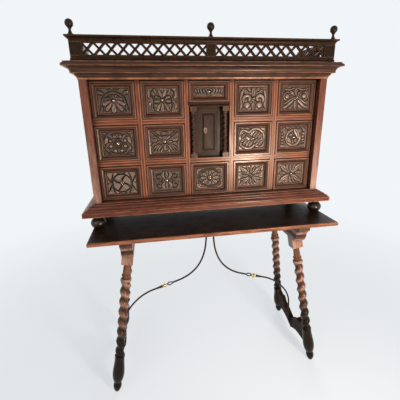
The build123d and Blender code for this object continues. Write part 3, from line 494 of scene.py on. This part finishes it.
# ---------------------------------------------------------------- shader helpers
def fill(node, **values):
    """Sets or wires inputs of a node: by name with _ for a space, or by number as in0, in1."""
    for key, value in values.items():
        numbered = key[:2] == "in" and key[2:].isdigit()
        socket = node.inputs[int(key[2:]) if numbered else key.replace("_", " ")]
        if isinstance(value, bpy.types.NodeSocket):
            node.id_data.links.new(value, socket)
        else:
            socket.default_value = value


def add(tree, kind, **values):
    """New shader node. Each value goes to the node's setting of that name, or else to an input."""
    node = tree.nodes.new("ShaderNode" + kind)
    for key, value in values.items():
        if hasattr(node, key) and key not in node.inputs:
            setattr(node, key, value)
        else:
            fill(node, **{key: value})
    return node


def maths(tree, operation, first, second=0.0):
    return add(tree, "Math", operation=operation, in0=first, in1=second).outputs[0]


def times(tree, first, second):
    return maths(tree, "MULTIPLY", first, second)


def span(tree, value, low, high, out_low=0.0, out_high=1.0):
    """Maps low to high onto out_low to out_high, held at both ends and smooth there."""
    return add(tree, "MapRange", interpolation_type="SMOOTHSTEP", in0=value, in1=low, in2=high,
               in3=out_low, in4=out_high).outputs[0]


def blend(tree, share, *colours):
    """Mix of two colours, each a socket or three numbers."""
    node = add(tree, "Mix", data_type="RGBA", clamp_result=True, in0=share)
    first, second = (value if isinstance(value, bpy.types.NodeSocket) else (*value, 1)
                     for value in colours)
    fill(node, in6=first, in7=second)
    return node.outputs[2]


def noise(tree, vector, scale, detail=2.0, roughness=0.5, distortion=0.0):
    return add(tree, "TexNoise", Vector=vector, Scale=scale, Detail=detail, Roughness=roughness,
               Distortion=distortion).outputs["Fac"]


def stretched(tree, vector, scale):
    return add(tree, "Mapping", Vector=vector, Scale=scale).outputs[0]


def bumps(tree, height, strength, depth):
    return add(tree, "Bump", Strength=strength, Distance=depth, Height=height).outputs[0]


def shade(colour, share):
    return [value * share for value in colour]


def new_material(name):
    """Material with its tree and its shader."""
    material = bpy.data.materials.new(name)
    material.use_nodes = True
    return material, material.node_tree, material.node_tree.nodes["Principled BSDF"]


# ---------------------------------------------------------------- shared effects
def group(name, inputs, outputs):
    """Empty node group: a vector and numbers with their defaults go in, numbers come out."""
    tree = bpy.data.node_groups.new(name, "ShaderNodeTree")
    tree.interface.new_socket(name="Vector", in_out="INPUT", socket_type="NodeSocketVector")
    for key, default in inputs.items():
        socket = tree.interface.new_socket(name=key, in_out="INPUT", socket_type="NodeSocketFloat")
        socket.default_value = default
    for key in outputs:
        tree.interface.new_socket(name=key, in_out="OUTPUT", socket_type="NodeSocketFloat")
    return tree, tree.nodes.new("NodeGroupInput").outputs, tree.nodes.new("NodeGroupOutput")


def make_grain(name):
    """Walnut: slow bands of figure, fine streaks and short pores, all along the vector's X."""
    tree, start, end = group(name, {"Seed": 0.0}, ("Figure", "Streak", "Pore"))
    seed = start["Seed"]
    shift = add(tree, "CombineXYZ", in0=seed, in1=seed, in2=seed).outputs[0]
    vector = add(tree, "VectorMath", operation="ADD", in0=start["Vector"], in1=shift).outputs[0]
    broad = noise(tree, stretched(tree, vector, (2.6, 22, 22)), 3.0, 4.0, 0.6, 1.2)
    fine = noise(tree, stretched(tree, vector, (5, 120, 120)), 2.0, 3.0, 0.6)
    pores = noise(tree, stretched(tree, vector, (30, 620, 620)), 1.5, 1.0, 0.5)
    fill(end, Figure=span(tree, broad, 0.36, 0.64), Streak=span(tree, fine, 0.3, 0.7),
         Pore=span(tree, pores, 0.6, 0.72))


def make_handling_and_shade(name):
    """Rubbed edges, which also serve as painted highlights on mouldings, dirt with painted shade in
    corners, and dust on level tops.

    An edge is where a short way inwards comes out again, a corner where little outwards is open.
    """
    tree, start, end = group(name, {"Edge reach": 0.004, "Corner reach": 0.03},
                             ("Rubbed", "Dirt", "Dust"))
    inside = add(tree, "AmbientOcclusion", samples=8, inside=True, Distance=start["Edge reach"])
    outside = add(tree, "AmbientOcclusion", samples=8, Distance=start["Corner reach"])
    patches = noise(tree, start["Vector"], 22.0, 4.0, 0.6)
    specks = noise(tree, start["Vector"], 160.0, 3.0, 0.6)
    edge = span(tree, inside.outputs["AO"], 0.95, 0.55)
    # Darker where little outwards is open: dirt and painted shade in corners and gaps
    corner = span(tree, outside.outputs["AO"], 0.97, 0.48)
    up = add(tree, "SeparateXYZ", in0=add(tree, "NewGeometry").outputs["Normal"]).outputs[2]
    settled = times(tree, span(tree, specks, 0.3, 0.7), span(tree, patches, 0.3, 0.7))
    # Lighter rubbed edges: wear, and painted highlight where the rub is full
    fill(end, Rubbed=times(tree, edge, span(tree, patches, 0.3, 0.62, 0.15, 1.0)),
         Dirt=times(tree, corner, span(tree, patches, 0.25, 0.7, 1.0, 0.6)),
         Dust=times(tree, span(tree, up, 0.75, 0.98), settled))


EFFECTS = {"walnut_grain": make_grain, "handling_and_shade": make_handling_and_shade}


def effect(tree, name, **values):
    """Outputs of a shared effect placed in a tree. The first use builds its group."""
    if name not in bpy.data.node_groups:
        EFFECTS[name](name)
    return add(tree, "Group", node_tree=bpy.data.node_groups[name], **values).outputs


# ---------------------------------------------------------------- places on a piece
def place_from(tree, centre=(0, 0, 0)):
    """Object coordinates counted from a centre."""
    place = add(tree, "TexCoord").outputs["Object"]
    return add(tree, "Mapping", Vector=place, Location=shade(centre, -1)).outputs[0]


def axes_from(tree, centre=(0, 0, 0)):
    """X, Y and Z of the object coordinates, counted from a centre."""
    return add(tree, "SeparateXYZ", in0=place_from(tree, centre)).outputs


def along(tree, lie, centre=(0, 0, 0), size=(0, 0, 0)):
    """Object coordinates turned so that their X runs with the wood.

    x, y and z: the whole piece runs that way. frame: mitred, upright where the point is nearer to
    the left or right edge than to the top or bottom one. run: a moulding along the front that
    turns back along the sides at 45 degree mitres. carcass: side boards upright, the rest along X.
    """
    place = place_from(tree, centre)
    if lie == "x":
        return place
    parts = add(tree, "SeparateXYZ", in0=place).outputs
    first, second, third = (1, 0, 2) if lie in ("y", "run") else (2, 1, 0)
    turned = add(tree, "CombineXYZ", in0=parts[first], in1=parts[second], in2=parts[third])
    if lie in "yz":
        return turned.outputs[0]
    side = maths(tree, "SUBTRACT", maths(tree, "ABSOLUTE", parts[0]), size[0] / 2)
    other = 0.0
    if lie == "frame":
        other = maths(tree, "SUBTRACT", maths(tree, "ABSOLUTE", parts[2]), size[2] / 2)
    elif lie == "run":
        other = maths(tree, "SUBTRACT", -size[1] / 2, parts[1])
    pick = maths(tree, "GREATER_THAN", side, other)
    return add(tree, "Mix", data_type="VECTOR", in0=pick, in4=place,
               in5=turned.outputs[0]).outputs[1]


# A distance and a mask are functions of the tree, so that wood() builds them in its own.
def inset(piece, axes=(0, 2)):
    """Distance in from the outer edge of a piece, seen along the axis that is left out."""
    middle, size = middle_and_size(piece)

    def distance(tree):
        parts = axes_from(tree, middle)
        return maths(tree, "MINIMUM", *(
            maths(tree, "SUBTRACT", size[axis] / 2, maths(tree, "ABSOLUTE", parts[axis]))
            for axis in axes))
    return distance


def drop(top, axis=2):
    """Distance down from a height, or back along another axis from a place on it."""
    return lambda tree: maths(tree, "SUBTRACT", top, axes_from(tree)[axis])


def strip(axis, start, pitch, width):
    """Distance in from the nearer edge of each rail: rails of one width stand a pitch apart."""
    def distance(tree):
        past = maths(tree, "SUBTRACT", axes_from(tree)[axis], start - 4 * pitch)
        past = maths(tree, "MODULO", past, pitch)
        return maths(tree, "MINIMUM", past, maths(tree, "SUBTRACT", width, past))
    return distance


def from_axis(tree):
    """Distance from the axis of the nearest leg."""
    place = add(tree, "VectorMath", operation="ABSOLUTE", in0=place_from(tree)).outputs[0]
    place = add(tree, "VectorMath", operation="SUBTRACT", in0=place, in1=LEG_TOP).outputs[0]
    lean = Vector((math.tan(LEG_LEAN[0]), math.tan(LEG_LEAN[1]), -1)).normalized()
    across = add(tree, "VectorMath", operation="CROSS_PRODUCT", in0=place, in1=lean).outputs[0]
    return add(tree, "VectorMath", operation="LENGTH", in0=across).outputs["Value"]


def lines(distance, stops):
    """Mask with the given values at the given distances, straight between them."""
    def mask(tree):
        reach = stops[-1][0]
        ramp = add(tree, "ValToRGB", in0=maths(tree, "DIVIDE", distance(tree), reach))
        marks = ramp.color_ramp.elements
        while len(marks) < len(stops):
            marks.new(0.5)
        for mark, (place, value) in zip(marks, stops):
            mark.position = place / reach
            mark.color = (value, value, value, 1)
        return ramp.outputs["Color"]
    return mask


# ---------------------------------------------------------------- finishes
# Tint of the reflections in old wax and shellac
WAX_TINT = (1.0, 0.82, 0.66, 1.0)
# How much the masks of dirt with painted shade and of dust do, the colour of dust, and how fine
# tarnish is
DIRT_AND_SHADE_SHARE = 0.9
DUST_SHARE = 0.15
DUST = (0.3, 0.26, 0.21)
TARNISH_SCALE = 90.0


def wood(name, lie, tone, seed, centre=(0, 0, 0), size=(0, 0, 0), rub=0.7, gloss=0.32, coat=0.1,
         shine=0.25, edge=0.004, rubbed_by=None, dirt_by=None, fade=None):
    """Old polished walnut. tone is its dark, middle and light colours; the light one stands for
    wear and painted sheen.

    A mask of rubbing, when given, takes the place of that of the edges and paints wear and
    highlights. A mask of dirt, when given, adds dirt and painted shade to that of the corners. fade
    gives two heights between which the wood turns nearly black towards the bottom, a painted shade.
    """
    material, tree, shader = new_material(name)
    vector = along(tree, lie, centre, size)
    grain = effect(tree, "walnut_grain", Vector=vector, Seed=seed)
    use = effect(tree, "handling_and_shade", Vector=vector, Edge_reach=edge)
    dark, middle, light = tone
    black = shade(dark, 0.12)
    colour = blend(tree, grain["Figure"], dark, middle)
    colour = blend(tree, span(tree, grain["Streak"], 0, 1, 0.0, 0.2), colour, shade(dark, 0.45))
    colour = blend(tree, times(tree, grain["Pore"], 0.5), colour, shade(dark, 0.2))
    # Lighter rubbed colour: wear along edges, and painted highlight lines where a mask is given
    rubbed = use["Rubbed"]
    if rubbed_by is not None:
        patches = noise(tree, stretched(tree, vector, (9, 60, 60)), 1.0, 4.0, 0.7)
        rubbed = times(tree, rubbed_by(tree), span(tree, patches, 0.3, 0.65, 0.25, 1.0))
    colour = blend(tree, times(tree, rubbed, rub), colour, light)
    # Darker in corners and gaps: dirt and painted shade
    grime_and_shade = use["Dirt"]
    if dirt_by is not None:
        grime_and_shade = maths(tree, "MAXIMUM", grime_and_shade, dirt_by(tree))
    colour = blend(tree, times(tree, grime_and_shade, DIRT_AND_SHADE_SHARE), colour, black)
    # Nearly black towards the bottom: painted shade
    if fade is not None:
        drift = span(tree, noise(tree, vector, 14.0, 3.0), 0, 1, -0.05, 0.05)
        height = maths(tree, "ADD", axes_from(tree)[2], drift)
        colour = blend(tree, span(tree, height, *fade, 0.0, 0.98), colour, shade(black, 0.3))
    colour = blend(tree, times(tree, use["Dust"], DUST_SHARE), colour, DUST)
    rough = maths(tree, "ADD", span(tree, grain["Streak"], 0, 1, gloss, gloss + 0.12),
                  times(tree, grime_and_shade, 0.25))
    rough = maths(tree, "SUBTRACT", rough, times(tree, rubbed, 0.1))
    height = maths(tree, "SUBTRACT", times(tree, grain["Streak"], -0.3), grain["Pore"])
    fill(shader, Base_Color=colour, Roughness=rough, Specular_IOR_Level=shine,
         Specular_Tint=WAX_TINT, Coat_Weight=coat, Coat_Roughness=0.2,
         Normal=bumps(tree, height, 0.25, 0.0006))
    return material


def carved(name, tone, seed, centre):
    """Carved walnut: cuts and moats darkened as dirt and painted shade, raised forms lightened as
    wear and painted highlight, tool marks all over.
    """
    _, tree, shader = new_material(name)
    vector = along(tree, "x", centre)
    grain = effect(tree, "walnut_grain", Vector=vector, Seed=seed)
    level, crest = (add(tree, "Attribute", attribute_name=key).outputs["Fac"]
                    for key in ("level", "crest"))
    patches = noise(tree, vector, 30.0, 3.0, 0.6)
    dark, middle, light = tone
    colour = blend(tree, span(tree, grain["Figure"], 0, 1, 0.1, 1.0), dark, middle)
    # Raised forms lighter: wear and painted highlight
    raised_wear_and_highlight = times(tree, span(tree, level, 0.55, 1.0), span(tree, patches, 0.3, 0.62, 0.3, 1.0))
    colour = blend(tree, raised_wear_and_highlight, colour, light)
    # Deep ground darker: dirt and painted shade
    colour = blend(tree, span(tree, level, 0.3, 0.05, 0.0, 0.9), colour, shade(dark, 0.1))
    # Points lower than the field around them, the moats, darker: painted shadow
    colour = blend(tree, span(tree, crest, 0.47, 0.3), colour, shade(dark, 0.06))
    rough = maths(tree, "ADD", span(tree, patches, 0.3, 0.7, 0.19, 0.29),
                  span(tree, level, 0.35, 0.0, 0.0, 0.35))
    marks = maths(tree, "SUBTRACT", noise(tree, vector, 420.0, 2.0, 0.5), grain["Pore"])
    fill(shader, Base_Color=colour, Roughness=rough, Specular_IOR_Level=0.42,
         Specular_Tint=WAX_TINT, Coat_Weight=0.1, Coat_Roughness=0.25,
         Normal=bumps(tree, marks, 0.3, 0.0008))


def metal(name, clean, tarnish, roughness, share):
    """Metal with tarnish over a share of it and in its corners, rubbed clean on its edges."""
    material, tree, shader = new_material(name)
    vector = along(tree, "x")
    use = effect(tree, "handling_and_shade", Vector=vector, Edge_reach=0.002, Corner_reach=0.008)
    patches = noise(tree, vector, TARNISH_SCALE, 4.0, 0.65)
    patches = span(tree, patches, 0.7 - 0.4 * share, 0.8 - 0.4 * share)
    dull = times(tree, maths(tree, "MAXIMUM", patches, use["Dirt"]),
                 maths(tree, "SUBTRACT", 1.0, use["Rubbed"]))
    pits = noise(tree, vector, TARNISH_SCALE * 3, 3.0)
    fill(shader, Base_Color=blend(tree, dull, clean, tarnish),
         Roughness=span(tree, dull, 0, 1, roughness, roughness + 0.3),
         Metallic=span(tree, dull, 0, 1, 1.0, 0.55), Normal=bumps(tree, pits, 0.35, 0.0006))
    return material


def dress(node, material):
    """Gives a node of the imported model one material."""
    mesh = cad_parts[node].data
    mesh.materials.clear()
    mesh.materials.append(material)


def dress_wood(node, *looks, **more_looks):
    """Gives a node a walnut of its own."""
    dress(node, wood(node, *looks, **more_looks))


def tones(colour, worn, share):
    """Dark, middle and light colours of a wood. The light one lies that share of the way towards
    the worn colour, which serves wear and painted sheen.
    """
    return (shade(colour, 0.4), list(colour),
            [value * (1 - share) + end * share for value, end in zip(colour, worn)])


# ---------------------------------------------------------------- wear by place
# How far out from the middle the side boards begin
SIDE_BOARDS_FROM = 0.518
# Their front edges carry a pale painted sheen: none at the first of these places behind the front,
# all at the second, and more and more over the fall below the top
STILE_SHEEN_DEPTH = (-0.009, -0.003)
STILE_SHEEN_TOP = 1.36
STILE_SHEEN_FALL = 0.4
# Thickness of the case's rails and uprights, and the play of a drawer's front beside them
RAIL = 0.0225
RAIL_PLAY = 0.0004
UPRIGHT = 0.022
UPRIGHT_PLAY = 0.0014
# Where a leg's axis meets the crossbar's underside, on the right at the back, and how it leans
LEG_TOP = (0.415, 0.1293, 0.726)
LEG_LEAN = (math.radians(9.0), math.radians(6.4))
# How far down from there the twist begins, and the heights between which a leg turns dark as
# painted shade
LEG_HEAD = (0.132, 0.14)
LEG_FADE = (0.48, 0.25)
# Each of these lists pairs of a distance and the strength of wear or dirt there; most also paint
# highlights and shade.
# A leg, by distance from its axis: hollows of the twist, darkened as dirt and painted shade, then
# its crests, lightened as wear and painted highlight
LEG_DIRT_AND_SHADE = ((0, 0.0), (0.0163, 0.0), (0.0166, 0.8), (0.0172, 0.7), (0.0186, 0.25), (0.0205, 0.0))
LEG_WEAR_AND_HIGHLIGHT = ((0, 0.0), (0.0215, 0.0), (0.023, 0.5), (0.0238, 1.0), (0.026, 0.7), (0.03, 0.8))
# A crossbar's end, by distance down from the table top: painted shade in its dark bands, painted
# highlight in its light lines
BAR_SHADE = ((0, 0.9), (0.004, 0.7), (0.032, 0.6), (0.04, 0.1), (0.052, 0.1), (0.056, 0.95),
            (0.064, 0.85), (0.076, 0.55), (0.08, 0.05), (0.1, 0.0))
BAR_HIGHLIGHT = ((0, 0.0), (0.0215, 0.0), (0.0238, 0.6), (0.0262, 0.2), (0.038, 0.2), (0.043, 0.9),
           (0.052, 0.7), (0.056, 0.0), (0.078, 0.0), (0.084, 0.8), (0.1, 0.6))
# A drawer's frame, the door and the table top, by distance in from the outer edge. On the frames
# the light lines are wear and painted highlight; on the frames and the door the dark lines are dirt
# and painted shade in the gaps and grooves
FRAME_WEAR_AND_HIGHLIGHT = ((0, 0), (0.0012, 0.3), (0.003, 1.0), (0.0065, 0.75), (0.0085, 0.0), (0.0105, 0.35),
             (0.0135, 0.1), (0.021, 0.0), (0.0228, 0.75), (0.0245, 0.85), (0.026, 0.3))
FRAME_DIRT_AND_SHADE = ((0, 1.0), (0.0008, 0.7), (0.0016, 0.0), (0.0072, 0.0), (0.0084, 0.95), (0.0098, 0.8),
              (0.0115, 0.2), (0.017, 0.3), (0.0215, 0.75), (0.0228, 0.1), (0.026, 0.3))
DOOR_DIRT_AND_SHADE = ((0, 0.9), (0.002, 0.3), (0.018, 0.0), (0.0198, 0.9), (0.0215, 0.2), (0.0272, 0.1),
             (0.0283, 1.0), (0.034, 0.8), (0.036, 0.2), (0.06, 0.0))
TABLE_RUB = ((0, 1.0), (0.002, 0.9), (0.006, 0.05), (0.01, 0.0))
# A rail or an upright, by distance in from its nearer edge: light lines of wear and painted
# highlight, dark lines of dirt and painted shade at the gaps
RAIL_DIRT_AND_SHADE = ((0, 1), (0.0008, 0.75), (0.0022, 0.12), (0.01, 0))
RAIL_WEAR_AND_HIGHLIGHT = ((0, 0), (0.0016, 0.3), (0.0028, 1.0), (0.0058, 0.9), (0.0085, 0.1), (0.012, 0.05))


class VARGUENO_OT_case(bpy.types.Operator):
    """Dress the wood of the case, its gallery and its cupboard"""
    bl_idname = "vargueno.case"
    bl_label = "Case"

    def execute(self, context):
        finish = settings("finish")
        worn = finish.worn_and_sheen_wood
        case = tones(finish.case_wood, worn, 0.85)
        dark = tones(finish.dark_wood, worn, 0.22)
        low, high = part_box("case_boards")
        moulded = (high[0] - low[0], -2 * low[1], 0)
        corner, above, beside = (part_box("drawer_front_" + name)[0]
                                 for name in ("row3_col1", "row1_col1", "row3_col5"))
        rails = strip(2, corner[2] - RAIL - RAIL_PLAY, (above[2] - corner[2]) / 2, RAIL)
        uprights = strip(0, corner[0] - UPRIGHT - UPRIGHT_PLAY, (beside[0] - corner[0]) / 4,
                         UPRIGHT)

        # Pale painted sheen on the side boards' front edges, stronger further down
        def stile_sheen(tree):
            return times(tree, span(tree, drop(low[1], 1)(tree), *STILE_SHEEN_DEPTH),
                         span(tree, drop(STILE_SHEEN_TOP)(tree), 0.0, STILE_SHEEN_FALL, 0.1, 1.0))

        dress_wood("case_boards", "carcass", tones(finish.case_wood, finish.pale_wear_and_sheen_wood, 0.9), 3.1,
                   size=(2 * SIDE_BOARDS_FROM, 0, 0), edge=0.006, rub=0.85, rubbed_by=stile_sheen)
        dress_wood("case_back", "x", tones(finish.lining_wood, worn, 0.4), 1.3, coat=0.0, gloss=0.6)
        # Rails and uprights: wear and painted highlight along their edges, dirt and painted shade
        # at the gaps
        dress_wood("partitions", "z", case, 5.7, gloss=0.26, rubbed_by=lines(uprights, RAIL_WEAR_AND_HIGHLIGHT),
                   dirt_by=lines(uprights, RAIL_DIRT_AND_SHADE))
        dress_wood("shelves", "x", case, 8.2, gloss=0.26, rubbed_by=lines(rails, RAIL_WEAR_AND_HIGHLIGHT),
                   dirt_by=lines(rails, RAIL_DIRT_AND_SHADE))
        # On the base and the cornice the lightened edges are wear and painted highlights
        dress_wood("base_moulding", "run", case, 2.4, size=moulded, rub=1.0, coat=0.2, gloss=0.26)
        dress_wood("cornice", "run", tones(finish.cornice_wood, worn, 0.6), 6.3, size=moulded,
                   rub=1.0)
        dress_wood("gallery", "y", dark, 7.7, coat=0.0, shine=0.14)
        dress_wood("finials", "z", dark, 9.1, shine=0.14)
        dress_wood("bun_feet", "z", dark, 4.4, gloss=0.26, coat=0.3)
        dress_wood("colonnettes", "z", tones(finish.cornice_wood, worn, 0.3), 2.9)
        middle, size = middle_and_size("cupboard_door")
        # Dark lines in the door's gaps and grooves: dirt and painted shade
        dress_wood("cupboard_door", "frame", tones(finish.door_wood, worn, 0.2), 1.9, middle, size,
                   shine=0.14, dirt_by=lines(inset("cupboard_door"), DOOR_DIRT_AND_SHADE))
        return {"FINISHED"}


class VARGUENO_OT_stand(bpy.types.Operator):
    """Dress the wood of the table top, the trestles and their stretchers"""
    bl_idname = "vargueno.stand"
    bl_label = "Stand"

    def execute(self, context):
        finish = settings("finish")
        table, worn = finish.stand_wood, finish.worn_and_sheen_wood
        legs = tones(finish.leg_wood, finish.pale_wear_and_sheen_wood, 0.75)
        down = drop(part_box("trestle_crossbars")[1][2])

        # Dirt and painted shade in the twist's hollows below the head
        def leg_dirt_and_shade(tree):
            return times(tree, lines(from_axis, LEG_DIRT_AND_SHADE)(tree),
                         span(tree, drop(LEG_TOP[2])(tree), *LEG_HEAD))

        dress_wood("table_top", "x", tones(table, worn, 0.55), 4.9, rub=1.0, gloss=0.28, coat=0.0,
                   shine=0.14, rubbed_by=lines(inset("table_top", (0, 1)), TABLE_RUB))
        # Painted highlight and painted shade along the crossbars' moulding
        dress_wood("trestle_crossbars", "y", legs, 6.6, rubbed_by=lines(down, BAR_HIGHLIGHT),
                   dirt_by=lines(down, BAR_SHADE))
        # The legs turn nearly black towards the floor as painted shade; their crests lighten as
        # wear and painted highlight
        dress_wood("trestle_legs", "z", legs, 7.2, coat=0.0, shine=0.2, gloss=0.2, rub=1.0,
                   rubbed_by=lines(from_axis, LEG_WEAR_AND_HIGHLIGHT), dirt_by=leg_dirt_and_shade, fade=LEG_FADE)
        dress_wood("trestle_stretchers", "y", tones(table, worn, 0.3), 3.8, coat=0.0, gloss=0.45,
                   shine=0.05)
        return {"FINISHED"}


class VARGUENO_OT_drawers(bpy.types.Operator):
    """Dress the wood of the drawers and make that of their carving"""
    bl_idname = "vargueno.drawers"
    bl_label = "Drawers"

    def execute(self, context):
        finish = settings("finish")
        framing = tones(finish.frame_wood, finish.worn_and_sheen_wood, 0.5)
        carving = tones(finish.carved_wood, finish.crest_wear_and_highlight_wood, 1.0)
        lining = wood("drawer_box", "y", tones(finish.lining_wood, finish.worn_and_sheen_wood, 0.4), 0.7,
                      coat=0.0, gloss=0.6)
        for order, name in enumerate(CARVING):
            front = "drawer_front_" + name
            middle, size = middle_and_size(front)
            # Frame lines: wear with painted highlight, dirt with painted shade
            dress_wood(front, "frame", framing, 0.37 * order, middle, size, gloss=0.25, shine=0.32,
                       rubbed_by=lines(inset(front), FRAME_WEAR_AND_HIGHLIGHT),
                       dirt_by=lines(inset(front), FRAME_DIRT_AND_SHADE))
            dress("drawer_box_" + name, lining)
            carved("carved_" + name, carving, 0.71 * order, middle)
        return {"FINISHED"}


class VARGUENO_OT_metals(bpy.types.Operator):
    """Dress the irons, the brass knops and the bronze knobs"""
    bl_idname = "vargueno.metals"
    bl_label = "Metals"

    def execute(self, context):
        finish = settings("finish")
        iron = metal("forged_iron", finish.iron, (0.03, 0.017, 0.011), 0.42, 0.9)
        brass = metal("brass", finish.brass, (0.16, 0.09, 0.035), 0.24, 0.35)
        bronze = metal("bronze", finish.bronze, (0.02, 0.013, 0.009), 0.18, 0.3)
        for node in ("bowed_irons", "door_fittings"):
            dress(node, iron)
        dress("brass_knops", brass)
        for name in CARVING:
            dress("drawer_knob_" + name, bronze)
        return {"FINISHED"}


# ---------------------------------------------------------------- stage
# Name, place, what it points at, width and height, power and colour of each lamp
LAMPS = (
    ("key", (0.66, -1.45, 0.92), (0.1, 0, 1.15), (0.25, 0.4), 30, (1.0, 0.86, 0.75)),
    ("fill", (-2.2, -2.2, 2.0), (0, 0, 1.0), (2.0, 2.0), 24, (0.94, 0.97, 1.0)),
    ("back", (1.0, 2.2, 2.2), (0, 0, 1.0), (1.5, 1.5), 25, (1.0, 1.0, 1.0)),
)
AMBIENT = 0.25
FLOOR_REACH = 12.0
# Distances from the middle between which the floor goes over into the backdrop
FLOOR_FADE = (0.6, 3.0)
SENSOR_WIDTH = 36


def seen(tree):
    """1 for the rays that show the backdrop: those of the camera, of gloss and through glass."""
    path = add(tree, "LightPath").outputs
    gloss = maths(tree, "MAXIMUM", path["Is Glossy Ray"], path["Is Transmission Ray"])
    return maths(tree, "MAXIMUM", path["Is Camera Ray"], gloss)


def facing(way):
    """Turn that points a lamp or a camera that way, upright."""
    return Vector(way).to_track_quat("-Z", "Y")


def make_floor(scene, backdrop):
    """Square floor that takes the shadow and goes over into the backdrop further out."""
    mesh = bpy.data.meshes.new("floor")
    corners = np.array([(-1, -1, 0), (1, -1, 0), (1, 1, 0), (-1, 1, 0)]) * FLOOR_REACH
    mesh.from_pydata(corners.tolist(), [], [(0, 1, 2, 3)])
    material, tree, matt = new_material("floor")
    fill(matt, Base_Color=backdrop, Roughness=0.9)
    reach = add(tree, "VectorMath", operation="LENGTH", in0=place_from(tree)).outputs["Value"]
    share = times(tree, seen(tree), span(tree, reach, *FLOOR_FADE, 0.65, 1.0))
    glow = add(tree, "Emission", Color=backdrop, Strength=1.0)
    mix = add(tree, "MixShader", in0=share, in1=matt.outputs[0], in2=glow.outputs[0])
    fill(tree.nodes["Material Output"], Surface=mix.outputs[0])
    mesh.materials.append(material)
    place_in(scene, "floor", mesh)


def make_world(scene, backdrop):
    """Dim even light from all sides, and the backdrop for the rays that show it."""
    scene.world = bpy.data.worlds.new("studio")
    scene.world.use_nodes = True
    tree = scene.world.node_tree
    ambient = tree.nodes["Background"]
    fill(ambient, Color=backdrop, Strength=AMBIENT)
    glow = add(tree, "Background", Color=backdrop, Strength=1.0)
    mix = add(tree, "MixShader", in0=seen(tree), in1=ambient.outputs[0], in2=glow.outputs[0])
    fill(tree.nodes["World Output"], Surface=mix.outputs[0])


def make_lamp(scene, name, place, aim, size, power, colour):
    """Rectangular lamp that points at its aim."""
    lamp = bpy.data.lights.new(name, "AREA")
    lamp.shape = "RECTANGLE"
    lamp.size, lamp.size_y = size
    lamp.energy = power
    lamp.color = colour
    light = place_in(scene, name, lamp, place)
    light.rotation_euler = facing(Vector(aim) - Vector(place)).to_euler()


def make_camera(scene, stage):
    """Camera turned by its pan, tilt and roll."""
    ahead = (math.sin(stage.pan) * math.cos(stage.tilt),
             math.cos(stage.pan) * math.cos(stage.tilt), -math.sin(stage.tilt))
    lens = bpy.data.cameras.new("camera")
    lens.sensor_width = SENSOR_WIDTH
    lens.lens = stage.lens
    camera = place_in(scene, "camera", lens, stage.eye)
    camera.rotation_mode = "QUATERNION"
    camera.rotation_quaternion = facing(ahead) @ Quaternion((0, 0, 1), -stage.roll)
    scene.camera = camera


class VARGUENO_OT_stage(bpy.types.Operator):
    """Set the floor, the backdrop, the lights and the camera"""
    bl_idname = "vargueno.stage"
    bl_label = "Stage"

    def execute(self, context):
        stage = settings("stage")
        scene = context.scene
        scene.view_settings.view_transform = "Standard"
        backdrop = (*stage.backdrop, 1)
        make_floor(scene, backdrop)
        make_world(scene, backdrop)
        for lamp in LAMPS:
            make_lamp(scene, *lamp)
        make_camera(scene, stage)
        return {"FINISHED"}


class VARGUENO_PT_panel(bpy.types.Panel):
    """Lists the steps and settings of the cabinet"""
    bl_label = "Vargueno"
    bl_idname = "VARGUENO_PT_panel"
    bl_space_type = "VIEW_3D"
    bl_region_type = "UI"
    bl_category = "Vargueno"

    def draw(self, context):
        for operator in OPERATORS:
            self.layout.operator(operator.bl_idname)
        for name, group in GROUPS.items():
            box = self.layout.box()
            for key in group.__annotations__:
                box.prop(settings(name), key)


GROUPS = {"carving": VarguenoCarving, "finish": VarguenoFinish, "stage": VarguenoStage}
# The carving comes after the drawers, whose step makes its materials
OPERATORS = [VARGUENO_OT_case, VARGUENO_OT_stand, VARGUENO_OT_drawers, VARGUENO_OT_metals,
             VARGUENO_OT_carving, VARGUENO_OT_stage]


def register():
    for cls in [*GROUPS.values(), *OPERATORS, VARGUENO_PT_panel]:
        bpy.utils.register_class(cls)
    for name, group in GROUPS.items():
        setattr(bpy.types.Scene, "vargueno_" + name, PointerProperty(type=group))


def unregister():
    for name in GROUPS:
        delattr(bpy.types.Scene, "vargueno_" + name)
    for cls in [VARGUENO_PT_panel, *reversed(OPERATORS), *GROUPS.values()]:
        bpy.utils.unregister_class(cls)


def main():
    register()
    for operator in OPERATORS:
        section, name = operator.bl_idname.split(".")
        getattr(getattr(bpy.ops, section), name)()


if __name__ == "__main__":
    main()
